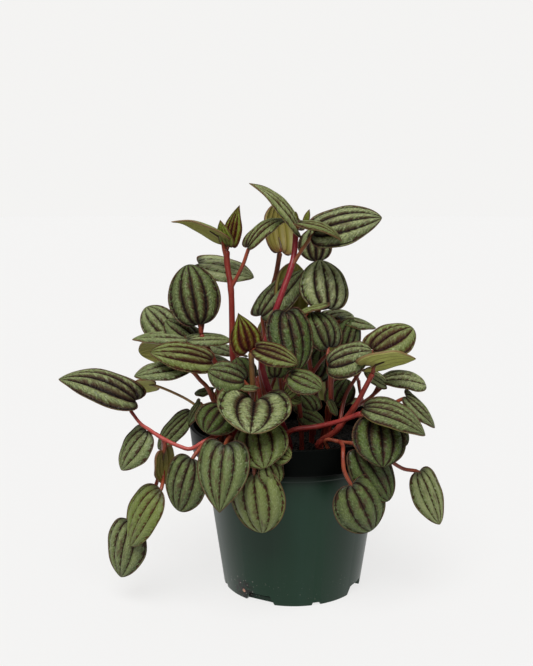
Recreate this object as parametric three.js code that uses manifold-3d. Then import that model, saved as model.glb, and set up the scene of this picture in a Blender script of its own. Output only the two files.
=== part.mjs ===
// Potted peperomia: a trailing house plant with ribbed, heart-shaped leaves in a round nursery pot.
// Millimetres, +Z up. The origin is the centre of the pot's base, on the surface it stands on,
// and the plant is seen from the -Y side.
import * as THREE from "three";
import { mergeVertices } from "three/addons/utils/BufferGeometryUtils.js";
import Module from "manifold-3d";

const wasm = await Module();
wasm.setup();

// Pot
const POT_HEIGHT = 85.7;
const RIM_RADIUS = 54;
const COLLAR_HEIGHT = 13.4;
const COLLAR_FOOT_RADIUS = 52.5;
const BODY_TOP_RADIUS = 46.7;
const BASE_RADIUS = 36.4;
const WALL = 1.4;
const FLOOR = 2.2;
const POT_SIDES = 36;
const SOIL_SIDES = 20;
const HOLE_SIDES = 6;
const PAD_RADIUS = 14;
const FOOT_RING_RADIUS = 31;
const RECESS = 1.2;
const LIP = 0.8;

// Drain notches round the base edge: wide ones and narrow ones by turns, each a quarter of a turn apart
const NOTCHES = [
  { firstDeg: -28, width: 17, height: 4.6 },
  { firstDeg: 18, width: 5.5, height: 1.5 },
];
const NOTCH_REPEATS = 4;
const NOTCH_DEPTH = 9;
const NOTCH_TAPER = 0.68;
const OVERCUT = 1;

// Soil
const SOIL_TOP = 75;
const SOIL_GAP = 0.3;
const SOIL_CROWN = 1.6;
const SOIL_SHOULDER = 0.55;
const SOIL_CHAMFER = 3.6;
const ROOT_DEPTH = 12;
const HOLE_GAP = 0.7;
const STEM_CLEAR = 1.5;

// Leaves and leaf stalks
const LEAF_THICK = 0.85;
const LARGE_LEAF = 27;
const SMALL_LEAF = 17;
const LARGE_LEAF_ROWS = [0, 0.1, 0.3, 0.56, 0.82, 1];
const SMALL_LEAF_ROWS = [0, 0.14, 0.42, 0.78, 1];
const LEAF_COLUMNS = [-1, -0.5, 0, 0.5, 1];
const SMALL_LEAF_COLUMNS = [-1, 0, 1];
const TAPER = 0.62;
const VEIN_STEP = 0.44;
const RIDGE = 0.7;
const LOBE = 0.3;
const LOBE_CURVE = 1.4;
const LOBE_REACH = 4;
const DROOP = 0.16;
const BOW = 0.08;
const STALK_RADIUS = 0.95;
const STALK_ROOT = 1.15;
const FINE_STALK = 0.7;
const BUD_WIDTH = 12;
const STALK_ARCH = 0.12;
const STALK_BELLY = 0.08;
const STALK_INSET = 1;
const STALK_SIDES = 4;
const STALK_STEPS = 3;
const STEM_SIDES = 5;
const STEM_STEP = 13;
const STEM_STEPS_LEAST = 8;
const SLIVER = 0.08;
const OUTWARD_LEAN = 0.5;
const BACK_LEAF_TILT = 0.8;

const LEAF_COLOUR = 0x66764f;
const SOIL_COLOUR = 0x1d1712;
const POT_COLOUR = 0x24402f;

// The eye point that the plant's picture readings are taken from: a 533 x 666 picture.
// A reading is [across, down] in its pixels, and "near" is how many millimetres a point
// lies in front of the pot's axis.
const EYE = new THREE.Vector3(-13.7, -472.6, 208.2);
const EYE_PITCH = THREE.MathUtils.degToRad(9.04);
const FOCAL_PIXELS = 925.3;
const PICTURE_CENTRE = [266.5, 333];

// Leafy stems that the picture shows. foot is where a stem leaves the soil, rise lists the readings
// it passes through, [across, down, near], and thick is its diameter at the foot and at the top.
// A leaf runs from its stalk end "at" to its "tip"; "near" holds the depths of the two, wide is
// its real width, and turn is how far its face is turned up and away from the eye, in degrees.
// from is where its stalk leaves the stem, from 0 at the foot to 1 at the top, and by lists the
// readings that a long stalk passes. Past 90 degrees of turn the underside shows.
const STEMS = [
  { name: "leafy_stem_tall_left", foot: [-30, -6], thick: [3.6, 2.8],
    rise: [[236, 385, 12], [232.5, 352, 15], [232, 320, 15], [231, 290, 13], [227, 262, 9], [227, 250, 8]],
    leaves: [
      { at: [224, 240], tip: [171, 221.5],
        near: [8, 12], wide: 17, turn: 108, from: 0.95, bow: 0.12, taper: 1.3 },
      { at: [230, 243.5], tip: [239.5, 205], near: [6, 2], wide: 11, turn: 30, from: 1, taper: 1.2 },
      { at: [228, 246], tip: [220, 220], near: [9, 11], wide: 8, turn: 30, from: 1, taper: 1 },
      { at: [247.5, 247.5], tip: [288, 219.5], near: [12, 4],
        wide: 14.5, turn: 58, from: 0.83, bow: 0.2, taper: 0.8, lobe: 0.2, by: [[242.5, 266, 12]] },
    ] },
  { name: "leafy_stem_left", foot: [-33, 2], thick: [3, 2.2],
    rise: [[224, 392, 8], [219, 372, 10], [212, 356, 12], [205, 343, 13], [201, 334, 13]],
    leaves: [
      { at: [199, 324.5], tip: [188, 264.5], near: [14, 4], wide: 27, turn: 8, from: 1, lobe: 0.1 },
      { at: [172, 337], tip: [146, 307], near: [2, -8], wide: 20, turn: 20, from: 0.8 },
      { at: [187, 338.5], tip: [132, 339.5], near: [10, 13], wide: 20, turn: 74, from: 0.85, taper: 0.8 },
      { at: [188, 339.5], tip: [231, 340], near: [14, 8], wide: 14, turn: 62, from: 0.95 },
      { at: [168, 350], tip: [139, 352], near: [-4, -10], wide: 16, turn: 140, from: 0.7 },
      { at: [197, 341], tip: [166, 320], near: [8, 3], wide: 22, turn: 52, from: 0.9 },
      { at: [198.5, 263.5], tip: [254, 277.5], near: [-6, -3],
        wide: 21, turn: 50, from: 1, by: [[203, 318, 6], [199, 290, -4]], taper: 0.75 },
    ] },
  { name: "leafy_stem_left_low", foot: [-37, -16], thick: [2.8, 2],
    rise: [[222, 415, 22], [214, 402, 24], [207, 387, 26], [200, 380, 27], [193, 372, 28], [187, 369, 29]],
    leaves: [
      { at: [187, 365.5], tip: [134, 376.5], near: [29, 33], wide: 19, turn: 58, from: 1, taper: 0.75 },
      { at: [211, 361], tip: [150, 352.5], near: [28, 36],
        wide: 20, turn: 44, from: 0.5, by: [[215, 375, 22]], taper: 0.7 },
      { at: [213, 389.5], tip: [194.5, 393], near: [18, 16], wide: 10.5, turn: 70, from: 0.5 },
      { at: [191, 412.5], tip: [158, 449], near: [22, 20], wide: 14, turn: 40, from: 0.35, lobe: 0.1 },
      { at: [200, 402], tip: [188, 425], near: [27, 25], wide: 9, turn: 60, from: 0.3 },
      { at: [156, 384.5], tip: [133, 387.5], near: [20, 12], wide: 9.5, turn: 140, from: 0.35,
        by: [[194, 404, 24], [172, 392, 22]] },
    ] },
  { name: "leafy_stem_trailing", foot: [-30, -24], thick: [2.6, 1.6],
    rise: [[225, 434, 34], [215, 436, 38], [205, 441, 41], [190, 449, 42], [180, 446.5, 41], [160, 437, 39],
      [150, 430, 38], [141, 424, 37], [130, 410, 35]],
    leaves: [
      { at: [135.5, 400.5], tip: [58.5, 379], near: [36, 30],
        wide: 26.5, turn: 50, from: 1, bow: 0.15, taper: 0.85 },
      { at: [146.5, 430.5], tip: [121, 470], near: [35, 37],
        wide: 23, turn: 50, from: 0.76, lobe: 0.15, taper: 0.75 },
      { at: [163, 450.5], tip: [165, 484], near: [38, 34], wide: 16, turn: 130, from: 0.74, taper: 0.8 },
      { at: [160.5, 489.5], tip: [130, 545.5], near: [42, 40], wide: 26.5, turn: 50, from: 0.745,
        by: [[163, 454, 33], [163.5, 472, 33]], lobe: 0.05, droop: 0.05, taper: 0.7 },
      { at: [131, 521.5], tip: [120.5, 577], near: [36, 34], wide: 24.5, turn: 35, from: 0.735,
        by: [[162, 462, 31], [150, 500, 32]], taper: 0.75, lobe: 0.1 },
      { at: [191.5, 458.5], tip: [178.5, 511], near: [50, 46], wide: 23.5, turn: 30, from: 0.42, lobe: 0.15 },
      { at: [224.5, 445], tip: [219.5, 513], near: [62, 68], wide: 25.5, turn: 18, from: 0.2, taper: 1 },
      { at: [223, 408], tip: [206, 433], near: [36, 45], wide: 22, turn: 20, from: 0.15 },
    ] },
  { name: "leafy_stem_front", foot: [-18, -36], thick: [2.8, 2.2],
    rise: [[250, 438, 44], [252, 425, 48]],
    leaves: [
      { at: [257, 426], tip: [264, 468.5], near: [53, 66], wide: 27, turn: 10, from: 1 },
      { at: [254, 474], tip: [262, 533], near: [61, 59], wide: 27, turn: 20, from: 0.9,
        by: [[251, 442, 53], [252, 452, 58], [254, 466, 61]] },
      { at: [275, 452], tip: [291, 458], near: [58, 61], wide: 12, turn: 30, from: 0.98 },
      { at: [268, 462], tip: [277, 486], near: [62, 61], wide: 14, turn: 25, from: 1, by: [[262, 446, 58]] },
    ] },
  { name: "leafy_stem_centre", foot: [-20, -26], thick: [3, 2.6],
    rise: [[254, 405, 35], [253, 392, 37], [252, 370, 39], [251, 352, 40]],
    leaves: [
      { at: [249.5, 350], tip: [238, 312.5], near: [41, 36], wide: 16.5, turn: 15, from: 1, taper: 1.3 },
      { at: [256, 348], tip: [298, 364], near: [42, 44], wide: 16, turn: 45, from: 1, taper: 0.75 },
      { at: [254.5, 402], tip: [250.5, 433.5], near: [46, 72], wide: 35, turn: 0, from: 0.5, lobe: 1.2,
        droop: -0.03 },
      { at: [244, 380], tip: [208, 370], near: [38, 36], wide: 22, turn: 45, from: 0.7 },
      { at: [244, 384], tip: [236, 358], near: [28, 22], wide: 18, turn: 30, from: 0.6 },
      { at: [257, 389], tip: [239, 387], near: [43, 39], wide: 9, turn: 72, from: 0.5 },
    ] },
  { name: "leafy_stem_back_centre", foot: [-8, 6], thick: [3.2, 2.6],
    rise: [[262, 380, -2], [262, 350, -4], [266, 315, -8], [270, 296, -10], [276, 275, -13], [280, 252, -14]],
    leaves: [
      { at: [281, 251], tip: [277, 203], near: [-14, -24], wide: 22, turn: 137, from: 1, taper: 0.7 },
      { at: [261, 315.5], tip: [303, 270], near: [4, -8],
        wide: 26, turn: 51, from: 0.45, by: [[264, 333, 2]] },
      { at: [291.5, 312], tip: [293.5, 262], near: [-2, -8], wide: 22, turn: 150, from: 0.5 },
      { at: [275, 377], tip: [277, 351], near: [2, -6], wide: 16, turn: 20, from: 0.3 },
    ] },
  { name: "leafy_stem_tall_right", foot: [-2, -12], thick: [3.6, 2.8],
    rise: [[262, 365, 17], [267, 340, 20], [274, 316, 21], [281, 296, 19], [291, 268, 14], [294, 255, 11],
      [296, 232, 8]],
    leaves: [
      { at: [298, 230], tip: [249, 183], near: [9, 16],
        wide: 15, turn: 60, from: 1, bow: 0.14, taper: 1.1 },
      { at: [314.5, 232], tip: [382, 217.5], near: [14, 18],
        wide: 24, turn: 36, from: 0.86, by: [[304, 247, 12]], taper: 0.75 },
      { at: [299, 224], tip: [342, 241], near: [16, 24], wide: 13, turn: 70, from: 1, bow: 0.16, taper: 1 },
      { at: [305, 223], tip: [309.5, 209], near: [2, 2], wide: 3.4, turn: 0, from: 1, taper: 1 },
      { at: [296, 226], tip: [295.5, 211.5], near: [8, 8], wide: 3, turn: 0, from: 1 },
      { at: [286, 312], tip: [296, 371], near: [28, 34.5], wide: 24.5, turn: 22, from: 0.55 },
    ] },
  { name: "leafy_stem_middle_right", foot: [10, -2], thick: [3, 2.2],
    rise: [[312, 385, 6], [308, 350, 4], [306, 325, 4], [308, 312, 5]],
    leaves: [
      { at: [328, 309], tip: [320.5, 260], near: [11, -1], wide: 27, turn: 25, from: 1, lobe: 0.15 },
      { at: [327, 304.5], tip: [290, 318.5], near: [17, 17], wide: 10, turn: 80, from: 0.95, taper: 0.8 },
      { at: [344, 348], tip: [353, 319], near: [6, 0], wide: 16, turn: 25, from: 0.6 },
      { at: [341, 319.5], tip: [376, 328], near: [-2, -8], wide: 16.5, turn: 75, from: 0.8, taper: 0.8 },
      { at: [325, 318], tip: [352, 314], near: [-8, -16], wide: 18, turn: 60, from: 0.85 },
    ] },
  { name: "leafy_stem_back_right", foot: [12, 18], thick: [3, 2.2],
    rise: [[318, 360, -18], [319, 320, -22], [318, 290, -24], [316, 265, -24]],
    leaves: [
      { at: [316, 261.5], tip: [314, 228], near: [-24, -32], wide: 19, turn: 12, from: 1, lobe: 0 },
      { at: [314, 378], tip: [321, 348], near: [-10, -15], wide: 20, turn: 20, from: 0.4 },
    ] },
  { name: "leafy_stem_right_upright", foot: [14, -16], thick: [3, 2.6],
    rise: [[331, 405, 24], [331, 390, 26], [331, 372, 27]],
    leaves: [
      { at: [329, 364], tip: [372, 351], near: [31, 35], wide: 27, turn: 52, from: 1 },
      { at: [329, 347], tip: [312, 312], near: [19.6, 12.8], wide: 23, turn: 40, from: 0.95, bow: 0.2 },
      { at: [334, 404], tip: [347, 379], near: [16, 8], wide: 17, turn: 30, from: 0.4 },
      { at: [330, 400], tip: [337, 416], near: [30, 32], wide: 10, turn: 70, from: 0.5 },
    ] },
  { name: "leafy_stem_right", foot: [14, -24], thick: [3.6, 2.4],
    rise: [[318, 444, 28], [335, 432, 30], [343, 422, 31], [356, 405, 35], [365, 388, 38], [373, 373, 40]],
    leaves: [
      { at: [371.5, 366], tip: [416, 358.5], near: [40, 45],
        wide: 21, turn: 112, from: 1, bow: 0.1, taper: 0.9, lobe: 0.8, droop: 0.04 },
      { at: [380, 380.5], tip: [425, 383], near: [25, 23],
        wide: 21, turn: 64, from: 0.7, by: [[373, 395, 24]], bow: 0.15, taper: 0.3, lobe: 0 },
      { at: [373, 349.5], tip: [412, 327], near: [24, 16], wide: 27, turn: 47, from: 0.5,
        by: [[345.5, 396, 24], [357, 376, 24]] },
      { at: [386, 384.5], tip: [364, 371], near: [28, 31], wide: 9, turn: 40, from: 0.7,
        by: [[375, 394, 25]] },
    ] },
  { name: "leafy_stem_right_low", foot: [-4, -32], thick: [3, 2.2],
    rise: [[288, 433, 36], [320, 426, 37], [340, 421, 39], [362, 413, 43]],
    leaves: [
      { at: [364, 408], tip: [425.5, 435.5], near: [48, 53], wide: 27, turn: 61, from: 1, bow: 0.13,
        lobe: 0.15, droop: 0.06, taper: 0.8 },
      { at: [406, 396.5], tip: [435, 428], near: [33, 31],
        wide: 16, turn: 62, taper: 0.9, from: 0.98, by: [[385, 408, 38]] },
      { at: [378, 419], tip: [383, 467], near: [49, 61], wide: 27, turn: 22, from: 0.95 },
      { at: [385, 425], tip: [408, 444], near: [34, 35], wide: 18, turn: 40, from: 0.95 },
    ] },
  { name: "leafy_stem_right_hanging", foot: [18, -35], thick: [2.3, 1.7],
    rise: [[326, 440, 39], [340, 442, 43], [354, 443.5, 48]],
    leaves: [
      { at: [358, 449], tip: [389.5, 500.5], near: [51, 51], wide: 22, turn: 24, from: 1 },
      { at: [351.5, 485], tip: [372, 530.5], near: [58, 53], wide: 27, turn: 16, from: 0.8,
        by: [[343, 446, 50], [343, 454, 55], [344, 470, 58]] },
      { at: [419.5, 471], tip: [440, 524.5], near: [32, 32], wide: 18.5, turn: 32, from: 1,
        by: [[372, 449, 47], [391, 461.5, 39], [404, 469, 34]], bow: 0.03, taper: 0.75,
        lobe: 0.15 },
    ] },
  { name: "leafy_stem_centre_right", foot: [4, -24], thick: [2.6, 2],
    rise: [[300, 410, 30], [296, 390, 34], [292, 380, 35]],
    leaves: [
      { at: [291, 375], tip: [322, 389], near: [43, 47], wide: 19, turn: 50, from: 1 },
      { at: [314, 411], tip: [300, 394], near: [21, 16], wide: 18, turn: 40, from: 0.5 },
      { at: [300, 412], tip: [324, 424], near: [25, 25], wide: 18, turn: 55, from: 0.5 },
      { at: [286, 396], tip: [299, 385], near: [38, 36], wide: 9, turn: 50, from: 0.85 },
      { at: [290, 398], tip: [302, 402], near: [38, 40], wide: 8, turn: 50, from: 0.75 },
    ] },
];

// Leafy stems of the back, which the picture doesn't show. They are alike and stand round the axis
// at the angles listed, in degrees from +X; reach stretches one outwards. Their leaves, which the
// rule in backStem shares out, are given by [outwards, sideways, height] of stalk end and tip.
const BACK_STEMS = [
  { name: "leafy_stem_back_a", angle: 43, reach: 1, leaves: [2, 5] },
  { name: "leafy_stem_back_b", angle: 73, reach: 1, leaves: [0, 1, 3, 4] },
  { name: "leafy_stem_back_c", angle: 100, reach: 1.04, leaves: [0, 1, 2, 3, 4] },
  { name: "leafy_stem_back_d", angle: 127, reach: 1, leaves: [0, 1, 3, 5] },
  { name: "leafy_stem_back_e", angle: 158, reach: 0.8, leaves: [1] },
];
const BACK_RISE = [[28, 0, 90], [33, 0, 103], [44, 1, 108], [54, 2, 100]];
const BACK_THICK = [3, 2];
const BACK_LEAVES = [
  { at: [37, -5, 104], tip: [62, -10, 98], wide: 22, from: 0.5 },
  { at: [42, 6, 116], tip: [68, 9, 118], wide: 26, from: 0.7 },
  { at: [31, 2, 112], tip: [35, 6, 138], wide: 20, from: 0.4 },
  { at: [60, -4, 98], tip: [74, -9, 70], wide: 26, from: 0.95 },
  { at: [56, 10, 92], tip: [68, 15, 60], wide: 24, from: 1 },
  { at: [59, 2, 86], tip: [71, 4, 54], wide: 26, from: 1 },
];

function seen(across, down, near) {
  const forward = new THREE.Vector3(0, Math.cos(EYE_PITCH), -Math.sin(EYE_PITCH));
  const upward = new THREE.Vector3(0, Math.sin(EYE_PITCH), Math.cos(EYE_PITCH));
  const ray = forward.clone()
    .addScaledVector(new THREE.Vector3(1, 0, 0), (across - PICTURE_CENTRE[0]) / FOCAL_PIXELS)
    .addScaledVector(upward, (PICTURE_CENTRE[1] - down) / FOCAL_PIXELS);
  return EYE.clone().addScaledVector(ray, (-near - EYE.y) / ray.y);
}

function solid(geometry) {
  geometry.deleteAttribute("normal");
  geometry.deleteAttribute("uv");
  const merged = mergeVertices(geometry, 1e-4);
  return new wasm.Manifold(new wasm.Mesh({
    numProp: 3,
    vertProperties: new Float32Array(merged.attributes.position.array),
    triVerts: new Uint32Array(merged.index.array),
  }));
}

function toGeometry(body) {
  const mesh = body.getMesh();
  const geometry = new THREE.BufferGeometry();
  geometry.setAttribute("position", new THREE.BufferAttribute(new Float32Array(mesh.vertProperties), 3));
  geometry.setIndex(new THREE.BufferAttribute(new Uint32Array(mesh.triVerts), 1));
  geometry.computeVertexNormals();
  return geometry;
}

// A closed stalk or stem along a smooth curve, tapering from one radius to another.
function taperedStalk(points, startRadius, endRadius, sides, steps) {
  const curve = new THREE.CatmullRomCurve3(points, false, "centripetal");
  const corners = [];
  for (let i = 0; i < sides; i += 1) {
    const angle = (2 * Math.PI * i) / sides;
    corners.push(new THREE.Vector2(Math.cos(angle), Math.sin(angle)).multiplyScalar(startRadius));
  }
  const geometry = new THREE.ExtrudeGeometry(new THREE.Shape(corners),
    { steps, extrudePath: curve, bevelEnabled: false });
  const centres = curve.getSpacedPoints(steps);
  const position = geometry.attributes.position;
  const vertex = new THREE.Vector3();
  for (let i = 0; i < position.count; i += 1) {
    vertex.fromBufferAttribute(position, i);
    const gaps = centres.map((centre) => centre.distanceTo(vertex));
    const ring = gaps.indexOf(Math.min(...gaps));
    const scale = THREE.MathUtils.lerp(startRadius, endRadius, ring / steps) / startRadius;
    vertex.sub(centres[ring]).multiplyScalar(scale).add(centres[ring]);
    position.setXYZ(i, vertex.x, vertex.y, vertex.z);
  }
  return solid(geometry);
}

// How wide a leaf is at t of its length, from 0 at the stalk to 1 at the tip: 1 where it is widest.
// A taper of 0.5 makes an ellipse, and more makes a more pointed tip and a wider stalk end.
function halfWidth(t, taper) {
  const widest = 0.5 / (0.5 + taper);
  return Math.sqrt(t / widest) * Math.pow((1 - t) / (1 - widest), taper);
}

// A leaf blade: a thin closed solid over rows t along it and columns s across it. Lobes reach back
// past the stalk, the sides droop, and it is puffed up between veins that run from stalk to tip.
function bladeSolid(leaf) {
  const { base, tip, wide, normal, bow = BOW, lobe = LOBE, droop = DROOP, taper = TAPER } = leaf;
  const along = tip.clone().sub(base);
  const length = along.length();
  along.normalize();
  const across = along.clone().cross(normal);
  const leafRows = wide < LARGE_LEAF ? SMALL_LEAF_ROWS : LARGE_LEAF_ROWS;
  const rows = leafRows.length - 1;
  const leafColumns = wide < SMALL_LEAF ? SMALL_LEAF_COLUMNS : LEAF_COLUMNS;
  const columns = leafColumns.length - 1;
  const place = (t, s, lift) => {
    const half = halfWidth(t, taper);
    const y = t - lobe * half * Math.pow(Math.abs(s), LOBE_CURVE) * Math.pow(1 - t, LOBE_REACH);
    const ridge = RIDGE * half * Math.abs(Math.sin((Math.PI * s) / VEIN_STEP));
    const height = 4 * bow * length * t * (1 - t) - droop * wide * half * half * s * s + ridge + lift;
    return base.clone().addScaledVector(along, length * y)
      .addScaledVector(across, 0.5 * wide * half * s).addScaledVector(normal, height);
  };
  const vertices = [];
  for (const lift of [0, -LEAF_THICK]) {
    vertices.push(place(0, 0, lift));
    for (let i = 1; i < rows; i += 1) {
      for (const s of leafColumns) vertices.push(place(leafRows[i], s, lift));
    }
    vertices.push(place(1, 0, lift));
  }
  const perFace = vertices.length / 2;
  const index = (i, j) => {
    if (i === 0) return 0;
    if (i === rows) return perFace - 1;
    return 1 + (i - 1) * (columns + 1) + j;
  };
  const triangles = [];
  const addBoth = (p, q, r) => {
    if (p === q || q === r || r === p) return;
    triangles.push(p, q, r, p + perFace, r + perFace, q + perFace);
  };
  for (let i = 0; i < rows; i += 1) {
    for (let j = 0; j < columns; j += 1) {
      addBoth(index(i, j), index(i, j + 1), index(i + 1, j + 1));
      addBoth(index(i, j), index(i + 1, j + 1), index(i + 1, j));
    }
  }
  const rim = [index(0, 0)];
  for (let i = 1; i < rows; i += 1) rim.push(index(i, columns));
  rim.push(index(rows, 0));
  for (let i = rows - 1; i > 0; i -= 1) rim.push(index(i, 0));
  rim.forEach((p, k) => {
    const q = rim[(k + 1) % rim.length];
    triangles.push(p + perFace, q + perFace, q, p + perFace, q, p);
  });
  const geometry = new THREE.BufferGeometry();
  const positions = new Float32Array(vertices.flatMap((vertex) => vertex.toArray()));
  geometry.setAttribute("position", new THREE.BufferAttribute(positions, 3));
  geometry.setIndex(triangles);
  return solid(geometry);
}

// The way a leaf's upper face looks: towards a viewer, then turned up and outwards round the leaf.
function leafNormal(base, tip, viewer, turn) {
  const along = tip.clone().sub(base).normalize();
  const facing = viewer.clone().addScaledVector(along, -viewer.dot(along)).normalize();
  const side = along.clone().cross(facing);
  const skyward = new THREE.Vector3(base.x, base.y, 0).setLength(OUTWARD_LEAN).setZ(1);
  if (side.dot(skyward) < 0) side.negate();
  const angle = THREE.MathUtils.degToRad(turn);
  return facing.multiplyScalar(Math.cos(angle)).addScaledVector(side, Math.sin(angle));
}

// A leaf with its stalk, from the place on the stem that it grows from.
function leafSolids(stemCurve, leaf) {
  const { base, tip, wide, normal, by } = leaf;
  const root = stemCurve.getPointAt(leaf.from);
  const along = tip.clone().sub(base).normalize();
  const seat = base.clone().addScaledVector(along, STALK_INSET).addScaledVector(normal, -0.5 * LEAF_THICK);
  const gap = seat.distanceTo(root);
  const points = [root];
  if (by.length > 0) {
    points.push(...by);
  } else {
    const lift = new THREE.Vector3(0, 0, STALK_ARCH * gap);
    points.push(root.clone().lerp(seat, 0.5).add(lift).addScaledVector(normal, -STALK_BELLY * gap));
  }
  points.push(seat);
  const steps = by.length > 0 ? 2 * STALK_STEPS : STALK_STEPS;
  const blade = bladeSolid(leaf);
  const radius = wide < BUD_WIDTH ? FINE_STALK * STALK_RADIUS : STALK_RADIUS;
  return [blade, taperedStalk(points, STALK_ROOT * radius, radius, STALK_SIDES, steps)];
}

// The stem itself starts below the soil, straight up through its hole.
function stemPoints(foot, rise) {
  const [x, y] = foot;
  return [
    new THREE.Vector3(x, y, SOIL_TOP - ROOT_DEPTH),
    new THREE.Vector3(x, y, SOIL_TOP - 0.5 * ROOT_DEPTH),
    new THREE.Vector3(x, y, SOIL_TOP + STEM_CLEAR),
    ...rise,
  ];
}

function leafyStem(points, thick, leaves) {
  const curve = new THREE.CatmullRomCurve3(points, false, "centripetal");
  const steps = Math.max(STEM_STEPS_LEAST, Math.round(curve.getLength() / STEM_STEP));
  const stem = taperedStalk(points, thick[0] / 2, thick[1] / 2, STEM_SIDES, steps);
  const joined = wasm.Manifold.union([stem, ...leaves.flatMap((leaf) => leafSolids(curve, leaf))]);
  return joined.asOriginal().simplify(SLIVER);
}

function frontStem({ foot, thick, rise, leaves }) {
  const placed = leaves.map((leaf) => {
    const base = seen(...leaf.at, leaf.near[0]);
    const tip = seen(...leaf.tip, leaf.near[1]);
    const normal = leafNormal(base, tip, EYE.clone().sub(base), leaf.turn);
    const by = (leaf.by ?? []).map((reading) => seen(...reading));
    return { ...leaf, base, tip, normal, by };
  });
  return leafyStem(stemPoints(foot, rise.map((reading) => seen(...reading))), thick, placed);
}

function backStem({ angle, reach, leaves }) {
  const turn = THREE.MathUtils.degToRad(angle);
  const outward = new THREE.Vector3(Math.cos(turn), Math.sin(turn), 0);
  const sideways = new THREE.Vector3(-Math.sin(turn), Math.cos(turn), 0);
  const spot = ([out, side, height]) => outward.clone().multiplyScalar(reach * out)
    .addScaledVector(sideways, side).setZ(height);
  const placed = leaves.map((k) => {
    const leaf = BACK_LEAVES[k];
    const base = spot(leaf.at);
    const tip = spot(leaf.tip);
    const viewer = outward.clone().setZ(BACK_LEAF_TILT);
    return { ...leaf, base, tip, normal: leafNormal(base, tip, viewer, 0), by: [] };
  });
  const foot = spot([BACK_RISE[0][0], 0, 0]);
  return leafyStem(stemPoints([foot.x, foot.y], BACK_RISE.map(spot)), BACK_THICK, placed);
}

// The pot is one moulding: a tapered wall, a collar that steps out to the rim, and a floor whose
// foot ring and middle pad stand on the surface, with drain notches cut through its base edge.
function potSolid() {
  const collarFoot = POT_HEIGHT - COLLAR_HEIGHT;
  const profile = [
    [0, 0],
    [PAD_RADIUS, 0],
    [PAD_RADIUS + RECESS, RECESS],
    [FOOT_RING_RADIUS - RECESS, RECESS],
    [FOOT_RING_RADIUS, 0],
    [BASE_RADIUS - LIP, 0],
    [BASE_RADIUS, LIP],
    [BODY_TOP_RADIUS, collarFoot],
    [COLLAR_FOOT_RADIUS - LIP, collarFoot],
    [COLLAR_FOOT_RADIUS, collarFoot + LIP],
    [RIM_RADIUS, POT_HEIGHT - LIP],
    [RIM_RADIUS - 0.5 * LIP, POT_HEIGHT],
    [RIM_RADIUS - WALL, POT_HEIGHT],
    [RIM_RADIUS - WALL - LIP, POT_HEIGHT - LIP],
    [COLLAR_FOOT_RADIUS - WALL, collarFoot + WALL],
    [BODY_TOP_RADIUS - WALL, collarFoot + WALL],
    [BASE_RADIUS - WALL, FLOOR],
    [0, FLOOR],
  ].map(([x, y]) => new THREE.Vector2(x, y));
  const lathe = new THREE.LatheGeometry(profile, POT_SIDES);
  lathe.rotateX(Math.PI / 2);
  let pot = solid(lathe);
  for (const { firstDeg, width, height } of NOTCHES) {
    const outline = new THREE.Shape([
      new THREE.Vector2(-0.5 * width, -OVERCUT),
      new THREE.Vector2(0.5 * width, -OVERCUT),
      new THREE.Vector2(0.5 * NOTCH_TAPER * width, height),
      new THREE.Vector2(-0.5 * NOTCH_TAPER * width, height),
    ]);
    for (let i = 0; i < NOTCH_REPEATS; i += 1) {
      const cutter = new THREE.ExtrudeGeometry(outline, { depth: NOTCH_DEPTH, bevelEnabled: false });
      cutter.rotateX(Math.PI / 2);
      cutter.translate(0, -(BASE_RADIUS - 0.5 * NOTCH_DEPTH + OVERCUT), 0);
      cutter.rotateZ(THREE.MathUtils.degToRad(firstDeg + (360 / NOTCH_REPEATS) * i));
      pot = pot.subtract(solid(cutter));
    }
  }
  return pot;
}

// The soil fills the pot up to below the rim, a little crowned, with a plain hole for each stem.
function soilSolid(feet) {
  const ledge = POT_HEIGHT - COLLAR_HEIGHT + WALL + SOIL_GAP;
  const slope = (BODY_TOP_RADIUS - BASE_RADIUS) / (POT_HEIGHT - COLLAR_HEIGHT);
  const radiusAt = (z) => BASE_RADIUS + slope * z - WALL - 2 * SOIL_GAP;
  const profile = [
    [0, FLOOR + SOIL_GAP],
    [radiusAt(FLOOR) - SOIL_CHAMFER, FLOOR + SOIL_GAP],
    [radiusAt(FLOOR + SOIL_CHAMFER), FLOOR + SOIL_CHAMFER],
    [radiusAt(ledge) - SOIL_GAP, ledge],
    [COLLAR_FOOT_RADIUS - WALL - 2 * SOIL_GAP, ledge],
    [COLLAR_FOOT_RADIUS - WALL - 2 * SOIL_GAP, SOIL_TOP - SOIL_CROWN + SOIL_GAP],
    [SOIL_SHOULDER * RIM_RADIUS, SOIL_TOP - 0.4 * SOIL_CROWN],
    [0, SOIL_TOP],
  ].map(([x, y]) => new THREE.Vector2(x, y));
  const lathe = new THREE.LatheGeometry(profile, SOIL_SIDES);
  lathe.rotateX(Math.PI / 2);
  let soil = solid(lathe);
  for (const { foot: [x, y], radius } of feet) {
    const hole = new THREE.CylinderGeometry(radius + HOLE_GAP, radius + HOLE_GAP, 2 * ROOT_DEPTH, HOLE_SIDES);
    hole.rotateX(Math.PI / 2);
    hole.translate(x, y, SOIL_TOP - 2 * SOIL_GAP);
    soil = soil.subtract(solid(hole));
  }
  return soil;
}

function addPiece(group, name, body, colour, roughness) {
  const material = new THREE.MeshStandardMaterial({ color: colour, roughness, metalness: 0 });
  const mesh = new THREE.Mesh(toGeometry(body), material);
  mesh.name = name;
  group.add(mesh);
}

const plant = new THREE.Group();
addPiece(plant, "pot", potSolid(), POT_COLOUR, 0.45);

const feet = STEMS.map(({ foot, thick }) => ({ foot, radius: thick[0] / 2 }));
for (const { angle, reach } of BACK_STEMS) {
  const turn = THREE.MathUtils.degToRad(angle);
  const out = reach * BACK_RISE[0][0];
  feet.push({ foot: [out * Math.cos(turn), out * Math.sin(turn)], radius: BACK_THICK[0] / 2 });
}
addPiece(plant, "soil", soilSolid(feet), SOIL_COLOUR, 0.95);

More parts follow.
